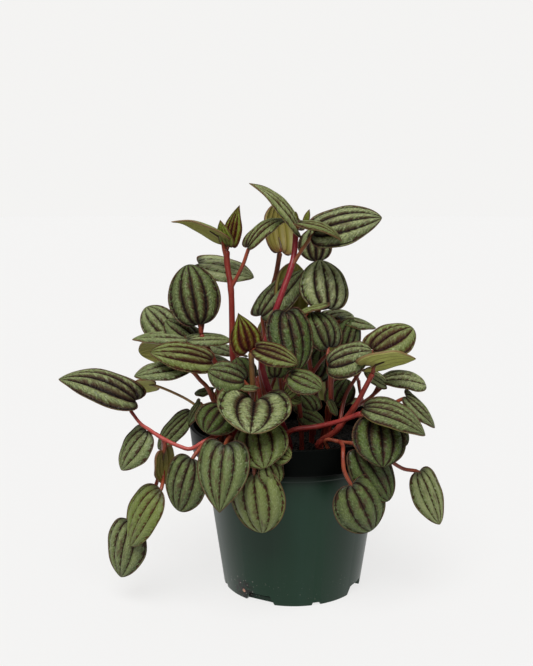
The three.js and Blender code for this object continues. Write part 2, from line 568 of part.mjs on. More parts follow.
for (const stem of STEMS) addPiece(plant, stem.name, frontStem(stem), LEAF_COLOUR, 0.5);
for (const stem of BACK_STEMS) addPiece(plant, stem.name, backStem(stem), LEAF_COLOUR, 0.5);

export default plant;
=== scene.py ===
import bpy
import numpy as np
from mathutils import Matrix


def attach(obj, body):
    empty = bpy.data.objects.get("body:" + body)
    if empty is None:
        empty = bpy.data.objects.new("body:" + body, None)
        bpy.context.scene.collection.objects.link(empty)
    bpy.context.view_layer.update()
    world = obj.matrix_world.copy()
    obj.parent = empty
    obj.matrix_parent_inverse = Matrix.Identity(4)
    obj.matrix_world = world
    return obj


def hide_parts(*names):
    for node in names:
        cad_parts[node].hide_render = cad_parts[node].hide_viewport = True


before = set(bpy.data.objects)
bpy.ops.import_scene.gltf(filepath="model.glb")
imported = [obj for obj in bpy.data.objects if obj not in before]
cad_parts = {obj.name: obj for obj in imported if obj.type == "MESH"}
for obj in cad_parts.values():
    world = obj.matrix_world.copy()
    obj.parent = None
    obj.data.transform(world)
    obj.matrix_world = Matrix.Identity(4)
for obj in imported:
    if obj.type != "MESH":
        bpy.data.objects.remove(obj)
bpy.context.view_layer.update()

# Studio: the eye stands half a metre in front of the pot and looks a little down on it, over a pale
# floor under soft, even light. The readings that place the plant start from the same eye.
MM = 0.001
EYE = np.array([-13.7, -472.6, 208.2]) * MM
EYE_PITCH = np.radians(9.04)
FOCAL_PIXELS = 925.3
PICTURE = (533, 666)
FILM_LENGTH = 36.0
NEAREST_SEEN = 10 * MM
FLOOR_REACH = 6.0
BACKDROP_HEIGHT = 6.0
BACKDROP_TURNS = 96
FLOOR_COLOUR = (0.12, 0.12, 0.12, 1)
FLOOR_GLOW = (0.775, 0.77, 0.762, 1)
BACKDROP_GLOW = (0.905, 0.9, 0.89, 1)
SKY_ABOVE = (0.36, 0.365, 0.375, 1)
SKY_LEVEL = (0.1, 0.1, 0.1, 1)
SKY_BELOW = (0.48, 0.475, 0.47, 1)
SKY_RISE = 0.6
SKY_FALL = -0.2
SUN_STRENGTH = 3.0
SUN_SPREAD = np.radians(38)
SUN_SLOPE = np.radians(32)
SUN_SIDE = np.radians(-12)


def add_node(tree, kind, inputs=None, **settings):
    """A node of that kind, with its settings, and each input linked to a socket or set to a value."""
    node = tree.nodes.new(kind)
    for name, value in settings.items():
        setattr(node, name, value)
    for key, value in (inputs or {}).items():
        if isinstance(value, bpy.types.NodeSocket):
            tree.links.new(value, node.inputs[key])
        else:
            node.inputs[key].default_value = value
    return node


def ramp(value, start, stop, low=0.0, high=1.0):
    """A smooth rise of the value, from low at start to high at stop, and level outside them."""
    node = add_node(value.id_data, "ShaderNodeMapRange",
                    {0: value, 1: start, 2: stop, 3: low, 4: high}, interpolation_type="SMOOTHSTEP")
    return node.outputs[0]


def mix(factor, first, second):
    """The first colour turning into the second as factor goes from 0 to 1."""
    node = add_node(factor.id_data, "ShaderNodeMix", {0: factor, 6: first, 7: second}, data_type="RGBA")
    return node.outputs[2]


def paint(name, **settings):
    """A new material and its Principled shader, with the sockets named by the settings set."""
    material = bpy.data.materials.new(name)
    material.use_nodes = True
    shader = material.node_tree.nodes["Principled BSDF"]
    for socket, value in settings.items():
        shader.inputs[socket.replace("_", " ")].default_value = value
    return material, shader


def glowing(name, colour, glow):
    """A matt material that also gives off its own even light, as a lit studio surface seems to."""
    return paint(name, Base_Color=colour, Roughness=1.0, Specular_IOR_Level=0.0, Emission_Color=glow,
                 Emission_Strength=1.0)[0]


def cells(a, b, c, d):
    """Two triangles for each four-cornered cell, whose corners' numbers stand in a, b, c and d."""
    return np.vstack([np.stack(corners, axis=-1).reshape(-1, 3) for corners in ((a, b, c), (a, c, d))])


def solid_piece(name, points, triangles, materials):
    """A smooth object at the origin whose mesh has these points and triangles, both numpy arrays."""
    mesh = bpy.data.meshes.new(name)
    mesh.vertices.add(len(points))
    mesh.vertices.foreach_set("co", np.asarray(points, dtype=np.float32).ravel())
    mesh.loops.add(triangles.size)
    mesh.loops.foreach_set("vertex_index", triangles.ravel().astype(np.int32))
    mesh.polygons.add(len(triangles))
    mesh.polygons.foreach_set("loop_start", np.arange(0, triangles.size, 3, dtype=np.int32))
    mesh.polygons.foreach_set("use_smooth", np.ones(len(triangles), dtype=bool))
    for material in materials:
        mesh.materials.append(material)
    mesh.update(calc_edges=True)
    piece = bpy.data.objects.new(name, mesh)
    bpy.context.scene.collection.objects.link(piece)
    return piece


camera = bpy.data.objects.new("camera", bpy.data.cameras.new("camera"))
camera.location = EYE
camera.rotation_euler = (np.pi / 2 - EYE_PITCH, 0, 0)
camera.data.sensor_width = FILM_LENGTH
camera.data.lens = FILM_LENGTH * FOCAL_PIXELS / PICTURE[1]
camera.data.clip_start = NEAREST_SEEN
bpy.context.scene.collection.objects.link(camera)
bpy.context.scene.camera = camera
bpy.context.scene.view_settings.view_transform = "Standard"

floor_paint = glowing("floor_paint", FLOOR_COLOUR, FLOOR_GLOW)
floor_corners = np.array([[-1, -1, 0], [1, -1, 0], [1, 1, 0], [-1, 1, 0]]) * FLOOR_REACH
floor = solid_piece("floor", floor_corners, cells(0, 1, 2, 3), [floor_paint])

backdrop_paint = glowing("backdrop_paint", (0, 0, 0, 1), BACKDROP_GLOW)
around = np.linspace(0, 2 * np.pi, BACKDROP_TURNS, endpoint=False)
ring = np.stack([FLOOR_REACH * np.cos(around), FLOOR_REACH * np.sin(around), 0 * around], axis=1)
low = np.arange(BACKDROP_TURNS)
turn = np.roll(low, -1)
wall_faces = cells(low, low + BACKDROP_TURNS, turn + BACKDROP_TURNS, turn)
wall_points = np.vstack([ring, ring + [0, 0, BACKDROP_HEIGHT]])
backdrop = solid_piece("backdrop", wall_points, wall_faces, [backdrop_paint])
for surface in (floor, backdrop):
    surface.visible_diffuse = False
    surface.visible_shadow = False
backdrop.visible_glossy = False

sky = bpy.data.worlds.new("studio")
sky.use_nodes = True
tree = sky.node_tree
direction = add_node(tree, "ShaderNodeTexCoord").outputs["Generated"]
upness = add_node(tree, "ShaderNodeSeparateXYZ", {0: direction}).outputs[2]
glow = mix(ramp(upness, 0, SKY_RISE), SKY_LEVEL, SKY_ABOVE)
glow = mix(ramp(upness, 0, SKY_FALL), glow, SKY_BELOW)
tree.links.new(glow, tree.nodes["Background"].inputs["Color"])
bpy.context.scene.world = sky

sun = bpy.data.objects.new("sun", bpy.data.lights.new("sun", "SUN"))
sun.data.energy = SUN_STRENGTH
sun.data.angle = SUN_SPREAD
sun.rotation_euler = (SUN_SLOPE, 0, SUN_SIDE)
bpy.context.scene.collection.objects.link(sun)


# Pot: one thin moulding in dark green plastic, with a collar that steps out to the rim, a fine step
# below the collar, and drain notches through its base edge. It stands on a foot ring and a middle pad.
POT_HEIGHT = 85.7 * MM
RIM_RADIUS = 54 * MM
COLLAR_FOOT_RADIUS = 52.5 * MM
COLLAR_FOOT = 72.3 * MM
BODY_TOP_RADIUS = 46.7 * MM
BASE_RADIUS = 36.4 * MM
POT_WALL = 1.4 * MM
POT_FLOOR = 2.2 * MM
LIP = 0.8 * MM
CORNER_BEND = 0.6 * LIP
STEP_DROP = 4.6 * MM
STEP_DEPTH = 0.35 * MM
PAD_RADIUS = 14 * MM
FOOT_RING_RADIUS = 31 * MM
RECESS = 1.2 * MM
NOTCHES = [dict(first=-28, width=17 * MM, height=4.6 * MM), dict(first=18, width=5.5 * MM, height=1.5 * MM)]
NOTCH_REPEATS = 4
NOTCH_TAPER = 0.68
NOTCH_DEPTH = 9 * MM
OVERCUT = 1 * MM
POT_TURNS = 200
POT_EDGE = np.radians(35)
SIDE_SHARE = 0.45
# Height where the painted shade of the overhanging leaves starts to darken the collar.
SHADE_FROM = 64 * MM
SPILL = tuple(np.array([-25.1, -27.1, 4.4]) * MM)


def hue(code):
    """A colour written as six hex digits, as the linear red, green, blue and alpha that shaders take."""
    part = np.array([int(code[i:i + 2], 16) for i in (0, 2, 4)]) / 255
    linear = np.where(part < 0.04045, part / 12.92, ((part + 0.055) / 1.055) ** 2.4)
    return (*linear, 1)


def calc(operation, *values):
    """The result of a Math node on up to three values, of which one at least is a socket."""
    tree = next(value.id_data for value in values if isinstance(value, bpy.types.NodeSocket))
    return add_node(tree, "ShaderNodeMath", dict(enumerate(values)), operation=operation).outputs[0]


def cloud(place, scale, detail=3.0):
    """A noise between about 0.2 and 0.8 at that place, stretched by the scale of each axis."""
    tree = place.id_data
    stretched = add_node(tree, "ShaderNodeMapping", {"Vector": place, "Scale": scale}).outputs[0]
    noise = {"Vector": stretched, "Scale": 1.0, "Detail": detail}
    return add_node(tree, "ShaderNodeTexNoise", noise).outputs[0]


def tinted(colour, other, value, start, stop, share=1.0):
    """The colour turning into the other one, by up to that share, as the value goes from start to stop."""
    return mix(ramp(value, start, stop, 0, share), colour, other)


def bumps(height, strength, depth, **more):
    """The normals of a surface that rises and falls with the height, by up to depth."""
    inputs = {"Strength": strength, "Distance": depth, "Height": height}
    return add_node(height.id_data, "ShaderNodeBump", {**inputs, **more}).outputs[0]


def wire(shader, **sockets):
    """Links the shader's sockets of those names to the values worked out for them."""
    for socket, value in sockets.items():
        shader.id_data.links.new(value, shader.inputs[socket.replace("_", " ")])


def lantern(here):
    """Triangles of a closed form whose lines of points, numbered here[line, place], stand side by side
    round it like a lantern's ribs, all from pole 0 to pole 1."""
    there = np.roll(here, -1, axis=0)
    first, last = here[:, 0], here[:, -1]
    return np.vstack([
        cells(here[:, :-1], there[:, :-1], there[:, 1:], here[:, 1:]),
        np.stack([0 * first, there[:, 0], first], axis=1),
        np.stack([0 * last + 1, last, there[:, -1]], axis=1),
    ])


def turned(profile, turns):
    """A profile of (radius, height) from axis to axis, carried once round the axis: the point at
    angle a is (radius sin a, -radius cos a, height), and each end of the profile is one pole."""
    radius, height = np.asarray(profile).T
    angle = np.linspace(0, 2 * np.pi, turns, endpoint=False)[:, None]
    ribs = np.stack([radius[1:-1] * np.sin(angle), -radius[1:-1] * np.cos(angle),
                     height[1:-1] + 0 * angle], axis=2)
    points = np.vstack([[[0, 0, height[0]], [0, 0, height[-1]]], ribs.reshape(-1, 3)])
    return points, lantern(2 + np.arange(turns * ribs.shape[1]).reshape(turns, -1))


def rounded(profile, radius, steps=4):
    """The profile with each inner corner bent: a quadratic curve (1-u)^2 A + 2u(1-u) C + u^2 B from a
    point A before the corner C to a point B after it, each radius away along its side, or the side's
    share if that is less."""
    profile = np.asarray(profile, dtype=float)
    before, corner, after = profile[:-2], profile[1:-1], profile[2:]
    back = np.linalg.norm(before - corner, axis=1, keepdims=True)
    on = np.linalg.norm(after - corner, axis=1, keepdims=True)
    start = (corner + (before - corner) * np.minimum(radius / back, SIDE_SHARE))[:, None]
    stop = (corner + (after - corner) * np.minimum(radius / on, SIDE_SHARE))[:, None]
    u = np.linspace(0, 1, steps)[None, :, None]
    bend = (1 - u) ** 2 * start + 2 * u * (1 - u) * corner[:, None] + u ** 2 * stop
    return np.vstack([profile[:1], bend.reshape(-1, 2), profile[-1:]])


def notch_block(first, width, height, repeat):
    """A block that cuts one notch: a tapered opening carried inwards, turned to its place."""
    outline = np.array([(-0.5 * width, -OVERCUT), (0.5 * width, -OVERCUT),
                        (0.5 * NOTCH_TAPER * width, height), (-0.5 * NOTCH_TAPER * width, height)])
    outer = -(BASE_RADIUS + 0.5 * NOTCH_DEPTH + OVERCUT)
    points = np.vstack([np.insert(outline, 1, y, axis=1) for y in (outer, outer + NOTCH_DEPTH)])
    angle = np.radians(first + 360 / NOTCH_REPEATS * repeat)
    turn = np.array([[np.cos(angle), -np.sin(angle), 0], [np.sin(angle), np.cos(angle), 0], [0, 0, 1]])
    k = np.arange(4)
    on = (k + 1) % 4
    return points @ turn.T, np.vstack([cells(0, 1, 2, 3), cells(4, 7, 6, 5), cells(k, 4 + k, 4 + on, on)])


pot_slope = (BODY_TOP_RADIUS - BASE_RADIUS) / COLLAR_FOOT
step_height = COLLAR_FOOT - STEP_DROP
step_radius = BASE_RADIUS + pot_slope * step_height
pot_profile = rounded([
    (0, 0), (PAD_RADIUS, 0), (PAD_RADIUS + RECESS, RECESS), (FOOT_RING_RADIUS - RECESS, RECESS),
    (FOOT_RING_RADIUS, 0), (BASE_RADIUS, 0), (step_radius, step_height),
    (step_radius + STEP_DEPTH, step_height + STEP_DEPTH), (BODY_TOP_RADIUS + STEP_DEPTH, COLLAR_FOOT),
    (COLLAR_FOOT_RADIUS, COLLAR_FOOT), (RIM_RADIUS, POT_HEIGHT), (RIM_RADIUS - POT_WALL - LIP, POT_HEIGHT),
    (COLLAR_FOOT_RADIUS - POT_WALL, COLLAR_FOOT + POT_WALL),
    (BODY_TOP_RADIUS - POT_WALL, COLLAR_FOOT + POT_WALL), (BASE_RADIUS - POT_WALL, POT_FLOOR),
    (0, POT_FLOOR),
], CORNER_BEND)

pot_plastic, pot_shader = paint("pot_plastic")
tree = pot_plastic.node_tree
place = add_node(tree, "ShaderNodeTexCoord").outputs["Object"]
haze = cloud(place, (55, 55, 9), detail=4.0)
specks = cloud(place, (900, 900, 900), detail=1.0)
height = add_node(tree, "ShaderNodeSeparateXYZ", {0: place}).outputs[2]
pot_colour_and_shade = mix(ramp(haze, 0.45, 0.75, 0, 0.6), hue("0d3320"), hue("1c3b2e"))
# Painted shade: the plastic darkens to near black from SHADE_FROM up to the rim, standing in for the shade
# that the overhanging leaves cast on the collar. Its gloss fades there too.
pot_colour_and_shade = tinted(pot_colour_and_shade, hue("040605"), height, SHADE_FROM, SHADE_FROM + 8 * MM)
splash = calc("MULTIPLY", ramp(specks, 0.7, 0.76), ramp(height, 20 * MM, 0))
pot_colour_and_shade = mix(splash, pot_colour_and_shade, hue("6d7064"))
from_spill = add_node(tree, "ShaderNodeVectorMath", {0: place, 1: SPILL}, operation="DISTANCE").outputs[1]
crust = cloud(place, (600, 600, 600))
spill = ramp(crust, 0.4, 0.5, 0, 0.95)
spill = calc("MULTIPLY", ramp(from_spill, 8 * MM, 4 * MM), spill)
grit = ramp(specks, 0.69, 0.73, 0, 0.7)
grit = calc("MULTIPLY", ramp(from_spill, 12 * MM, 4 * MM), grit)
pot_colour_and_shade = mix(spill, pot_colour_and_shade, hue("120b08"))
pot_colour_and_shade = mix(grit, pot_colour_and_shade, hue("a09c92"))
pot_colour_and_shade = tinted(pot_colour_and_shade, hue("dc9f84"), from_spill, 1.1 * MM, 0.7 * MM)
grain = cloud(place, (2500, 2500, 2500), detail=2.0)
wire(pot_shader, Base_Color=pot_colour_and_shade, Roughness=ramp(haze, 0.3, 0.8, 0.3, 0.44),
     Specular_IOR_Level=ramp(height, SHADE_FROM, SHADE_FROM + 10 * MM, 0.27, 0.03),
     Normal=bumps(grain, 0.12, 0.2 * MM))

pot = solid_piece("pot_shell", *turned(pot_profile, POT_TURNS), [pot_plastic])
blocks = [notch_block(**notch, repeat=k) for notch in NOTCHES for k in range(NOTCH_REPEATS)]
block_points = np.vstack([points for points, faces in blocks])
block_faces = np.vstack([faces + len(points) * k for k, (points, faces) in enumerate(blocks)])
cutter = solid_piece("notch_cutter", block_points, block_faces, [])
cut = pot.modifiers.new("notches", "BOOLEAN")
cut.object = cutter
cut.operation = "DIFFERENCE"
cut.solver = "EXACT"
uncut = pot.data
pot.data = bpy.data.meshes.new_from_object(pot.evaluated_get(bpy.context.evaluated_depsgraph_get()))
pot.data.name = "pot_shell"
pot.modifiers.clear()
bpy.data.meshes.remove(uncut)
bpy.data.objects.remove(cutter)
pot.data.set_sharp_from_angle(angle=POT_EDGE)
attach(pot, "root")
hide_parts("pot")


# Soil: a damp, nearly black mix of peat and fine bark that fills the pot to below its rim. The bed is
# one crowned body with a rough top, and loose crumbs and a few white grains lie on it.
SOIL_TOP = 75 * MM
SOIL_CROWN = 1.6 * MM
SOIL_GAP = 0.3 * MM
SOIL_RADIUS = COLLAR_FOOT_RADIUS - POT_WALL - 2 * SOIL_GAP
SOIL_RINGS = 44
SOIL_TURNS = 120
SOIL_WAVES = 40
WAVE_PITCHES = (120, 900)
USUAL_PITCH = 300
SWELL_LIMIT = 4
SOIL_ROUGHNESS = 0.14 * MM
SOIL_SINK = 0.6 * MM
WAVE_SEED = 5
DRAW_SEED = 31
CRUMBS = dict(count=900, smallest=0.6 * MM, largest=1.9 * MM, flatness=0.35)
GRAINS = dict(count=16, smallest=0.5 * MM, largest=0.9 * MM, flatness=0.7)
LUMP_DENTS = (0.7, 1.1)
LUMP_REACH = 1.9
draw = np.random.default_rng(DRAW_SEED)


def soil_height(x, y):
    """Height of the soil's top: a crown that falls with the square of the radius, plus the sum of
    usual pitch / pitch times sin(pitch r + phase) over waves of random direction, pitch and phase."""
    waves = np.random.default_rng(WAVE_SEED)
    pitch = waves.uniform(*WAVE_PITCHES, SOIL_WAVES)
    turn = waves.uniform(0, 2 * np.pi, SOIL_WAVES)
    phase = waves.uniform(0, 2 * np.pi, SOIL_WAVES)
    run = x[..., None] * np.cos(turn) + y[..., None] * np.sin(turn)
    swell = (np.sin(pitch * run + phase) * (USUAL_PITCH / pitch)).sum(axis=-1)
    crown = SOIL_CROWN * (x ** 2 + y ** 2) / SOIL_RADIUS ** 2
    return SOIL_TOP - crown - SOIL_SINK + SOIL_ROUGHNESS * np.clip(swell, -SWELL_LIMIT, SWELL_LIMIT)


soil_paint, soil_shader = paint("soil_mix", Specular_IOR_Level=0.25)
tree = soil_paint.node_tree
place = add_node(tree, "ShaderNodeTexCoord").outputs["Object"]
lumps = cloud(place, (450, 450, 450))
earth = mix(ramp(lumps, 0.35, 0.7), hue("050404"), hue("19120e"))
wire(soil_shader, Base_Color=earth, Roughness=ramp(lumps, 0.3, 0.7, 0.95, 0.6),
     Normal=bumps(cloud(place, (1400, 1400, 1400)), 0.6, 0.6 * MM))

soil_ledge = COLLAR_FOOT + POT_WALL + SOIL_GAP
soil_side = BODY_TOP_RADIUS - POT_WALL - 3 * SOIL_GAP
top_radii = np.linspace(SOIL_RADIUS, 0, SOIL_RINGS)
soil_foot = POT_FLOOR + 2 * SOIL_GAP
soil_profile = [(0, soil_foot), (BASE_RADIUS - POT_WALL - 6 * SOIL_GAP, soil_foot),
                (soil_side, soil_ledge), (SOIL_RADIUS, soil_ledge)]
soil_profile += [(radius, SOIL_TOP) for radius in top_radii]
soil_points, soil_faces = turned(soil_profile, SOIL_TURNS)
on_top = soil_points[:, 2] > SOIL_TOP - SOIL_GAP
soil_points[on_top, 2] = soil_height(soil_points[on_top, 0], soil_points[on_top, 1])
soil = solid_piece("soil_bed", soil_points, soil_faces, [soil_paint])

# The 12 corners of an icosahedron, (0, 1, golden ratio) with every sign and turned through the three
# axes, divided by how far they reach, so that a lump's corners lie about 1 from its middle.
golden = (1 + 5 ** 0.5) / 2
corners = np.array([(0, a, b * golden) for a in (-1, 1) for b in (-1, 1)])
LUMP_POINTS = np.vstack([corners, corners[:, [1, 2, 0]], corners[:, [2, 0, 1]]]) / LUMP_REACH


def hull_faces(points):
    """The 20 triangles of an icosahedron's 12 points: every three points that all lie one edge apart,
    turned so that they face away from the centre."""
    gap = np.linalg.norm(points[:, None] - points[None], axis=2)
    near = np.isclose(gap, gap[gap > 0].min())
    i, j, k = np.meshgrid(*[np.arange(len(points))] * 3, indexing="ij")
    chosen = (i < j) & (j < k) & near[i, j] & near[j, k] & near[i, k]
    faces = np.stack([i[chosen], j[chosen], k[chosen]], axis=1)
    a, b, c = (points[faces[:, n]] for n in range(3))
    inward = (np.cross(b - a, c - a) * a).sum(axis=1) < 0
    faces[inward] = faces[inward][:, [0, 2, 1]]
    return faces


def lumps_on_soil(count, smallest, largest, flatness):
    """Closed lumps that lie on the soil: icosahedra with their points pushed in or out at random,
    stretched by three random sizes, turned by a random quaternion and set on the soil's top."""
    size = draw.uniform(smallest, largest, (count, 1, 1)) * draw.uniform(flatness, 1, (count, 1, 3))
    shape = LUMP_POINTS[None] * draw.uniform(*LUMP_DENTS, (count, len(LUMP_POINTS), 1)) * size
    w, x, y, z = draw.normal(size=(4, count))
    norm = np.sqrt(w ** 2 + x ** 2 + y ** 2 + z ** 2)
    w, x, y, z = w / norm, x / norm, y / norm, z / norm
    turn = np.array([
        [1 - 2 * (y * y + z * z), 2 * (x * y - z * w), 2 * (x * z + y * w)],
        [2 * (x * y + z * w), 1 - 2 * (x * x + z * z), 2 * (y * z - x * w)],
        [2 * (x * z - y * w), 2 * (y * z + x * w), 1 - 2 * (x * x + y * y)],
    ])
    shape = np.einsum("ijn,npj->npi", turn, shape)
    radius = (SOIL_RADIUS - largest) * np.sqrt(draw.uniform(0, 1, count))
    angle = draw.uniform(0, 2 * np.pi, count)
    ground = np.stack([radius * np.cos(angle), radius * np.sin(angle)], axis=1)
    top = soil_height(ground[:, 0], ground[:, 1])
    places = np.concatenate([ground, top[:, None]], axis=1)[:, None, :]
    faces = hull_faces(LUMP_POINTS)
    triangles = (faces[None] + len(LUMP_POINTS) * np.arange(count)[:, None, None]).reshape(-1, 3)
    return (shape + places).reshape(-1, 3), triangles


crumbs = solid_piece("soil_crumbs", *lumps_on_soil(**CRUMBS), [soil_paint])
grain_paint = paint("perlite", Base_Color=hue("77756e"), Roughness=0.9)[0]
grains = solid_piece("soil_grains", *lumps_on_soil(**GRAINS), [grain_paint])
for piece in (soil, crumbs, grains):
    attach(piece, "root")
    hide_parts("soil")


# Leafy stems: red fleshy stems rise from the soil and hang over the rim. Each carries leaves on thin
# stalks: thick satin blades, silvery green between dark veins that are pressed in from stalk to tip.
# They grow where the picture shows them.
ROOT_DEPTH = 12 * MM
STEM_CLEAR = 1.5 * MM
LEAF_THICK = 0.85 * MM
TAPER = 0.62
VEIN_STEP = 0.44
RIDGE = 1.7 * MM
LOBE = 0.3
LOBE_CURVE = 1.4
LOBE_REACH = 4
DROOP = 0.16
BOW = 0.08
OUTWARD_LEAN = 0.5
MARGIN_WAVE = 0.3 * MM
MARGIN_WAVES = 2.3
WAVE_SHIFT = 2.4
LEAF_ROWS = 30
RIDGE_STEPS = 6
SMALL_RIDGE_STEPS = 4
RIM_CLEAR = 0.985
FULL_WIDTH = 26
SMALL_LEAF = 15
STALK_RADIUS = 0.95 * MM
STALK_ROOT = 1.15
FINE_STALK = 0.7
BUD_WIDTH = 12
STALK_ARCH = 0.12
STALK_BELLY = 0.08
STALK_INSET = 1 * MM
STALK_SLIMS = 0.3
MIDRIB_REACH = 0.3
MIDRIB_START = 0.6
MIDRIB_END = 0.35
MIDRIB_SKIN = "4c3a20"
STALK_SKIN = ("7d2c22", "94482f")
TUBE_SIDES = 12
TUBE_STEP = 1.6 * MM
NODE_SWELL = 0.14
NODE_LENGTH = 2.5 * MM
END_STOPS = np.array([0.06, 0.25, 0.6])
END_SHARE = 0.45
FEWEST_RINGS = 4
CURVE_STEPS = 24
PATTERN_SHIFT = 7.3


def grow(at, tip, near, wide, turn, start, look, **more):
    """A leaf of a stem, as read from the picture. It runs from its stalk end at to its tip, each (across,
    down) in the picture's pixels and near millimetres in front of the pot's axis. It is wide
    millimetres across, with its face turned up and away from the eye by turn degrees, and its stalk
    leaves the stem at start, from 0 at the foot to 1 at the top. look is how pale its green is, how
    broad its dark bands are, and how young and red it is; the paleness is partly the leaf's own tone
    and partly painted light, lower as painted shade on leaves in the plant's shaded middle and higher
    as painted light shining through the undersides. more may give by, the readings (across, down,
    near) that its stalk passes, its stalk's skin, and the bow, lobe, droop and taper in blade."""
    return dict(at=at, tip=tip, near=near, wide=wide, turn=turn, start=start, look=look, **more)


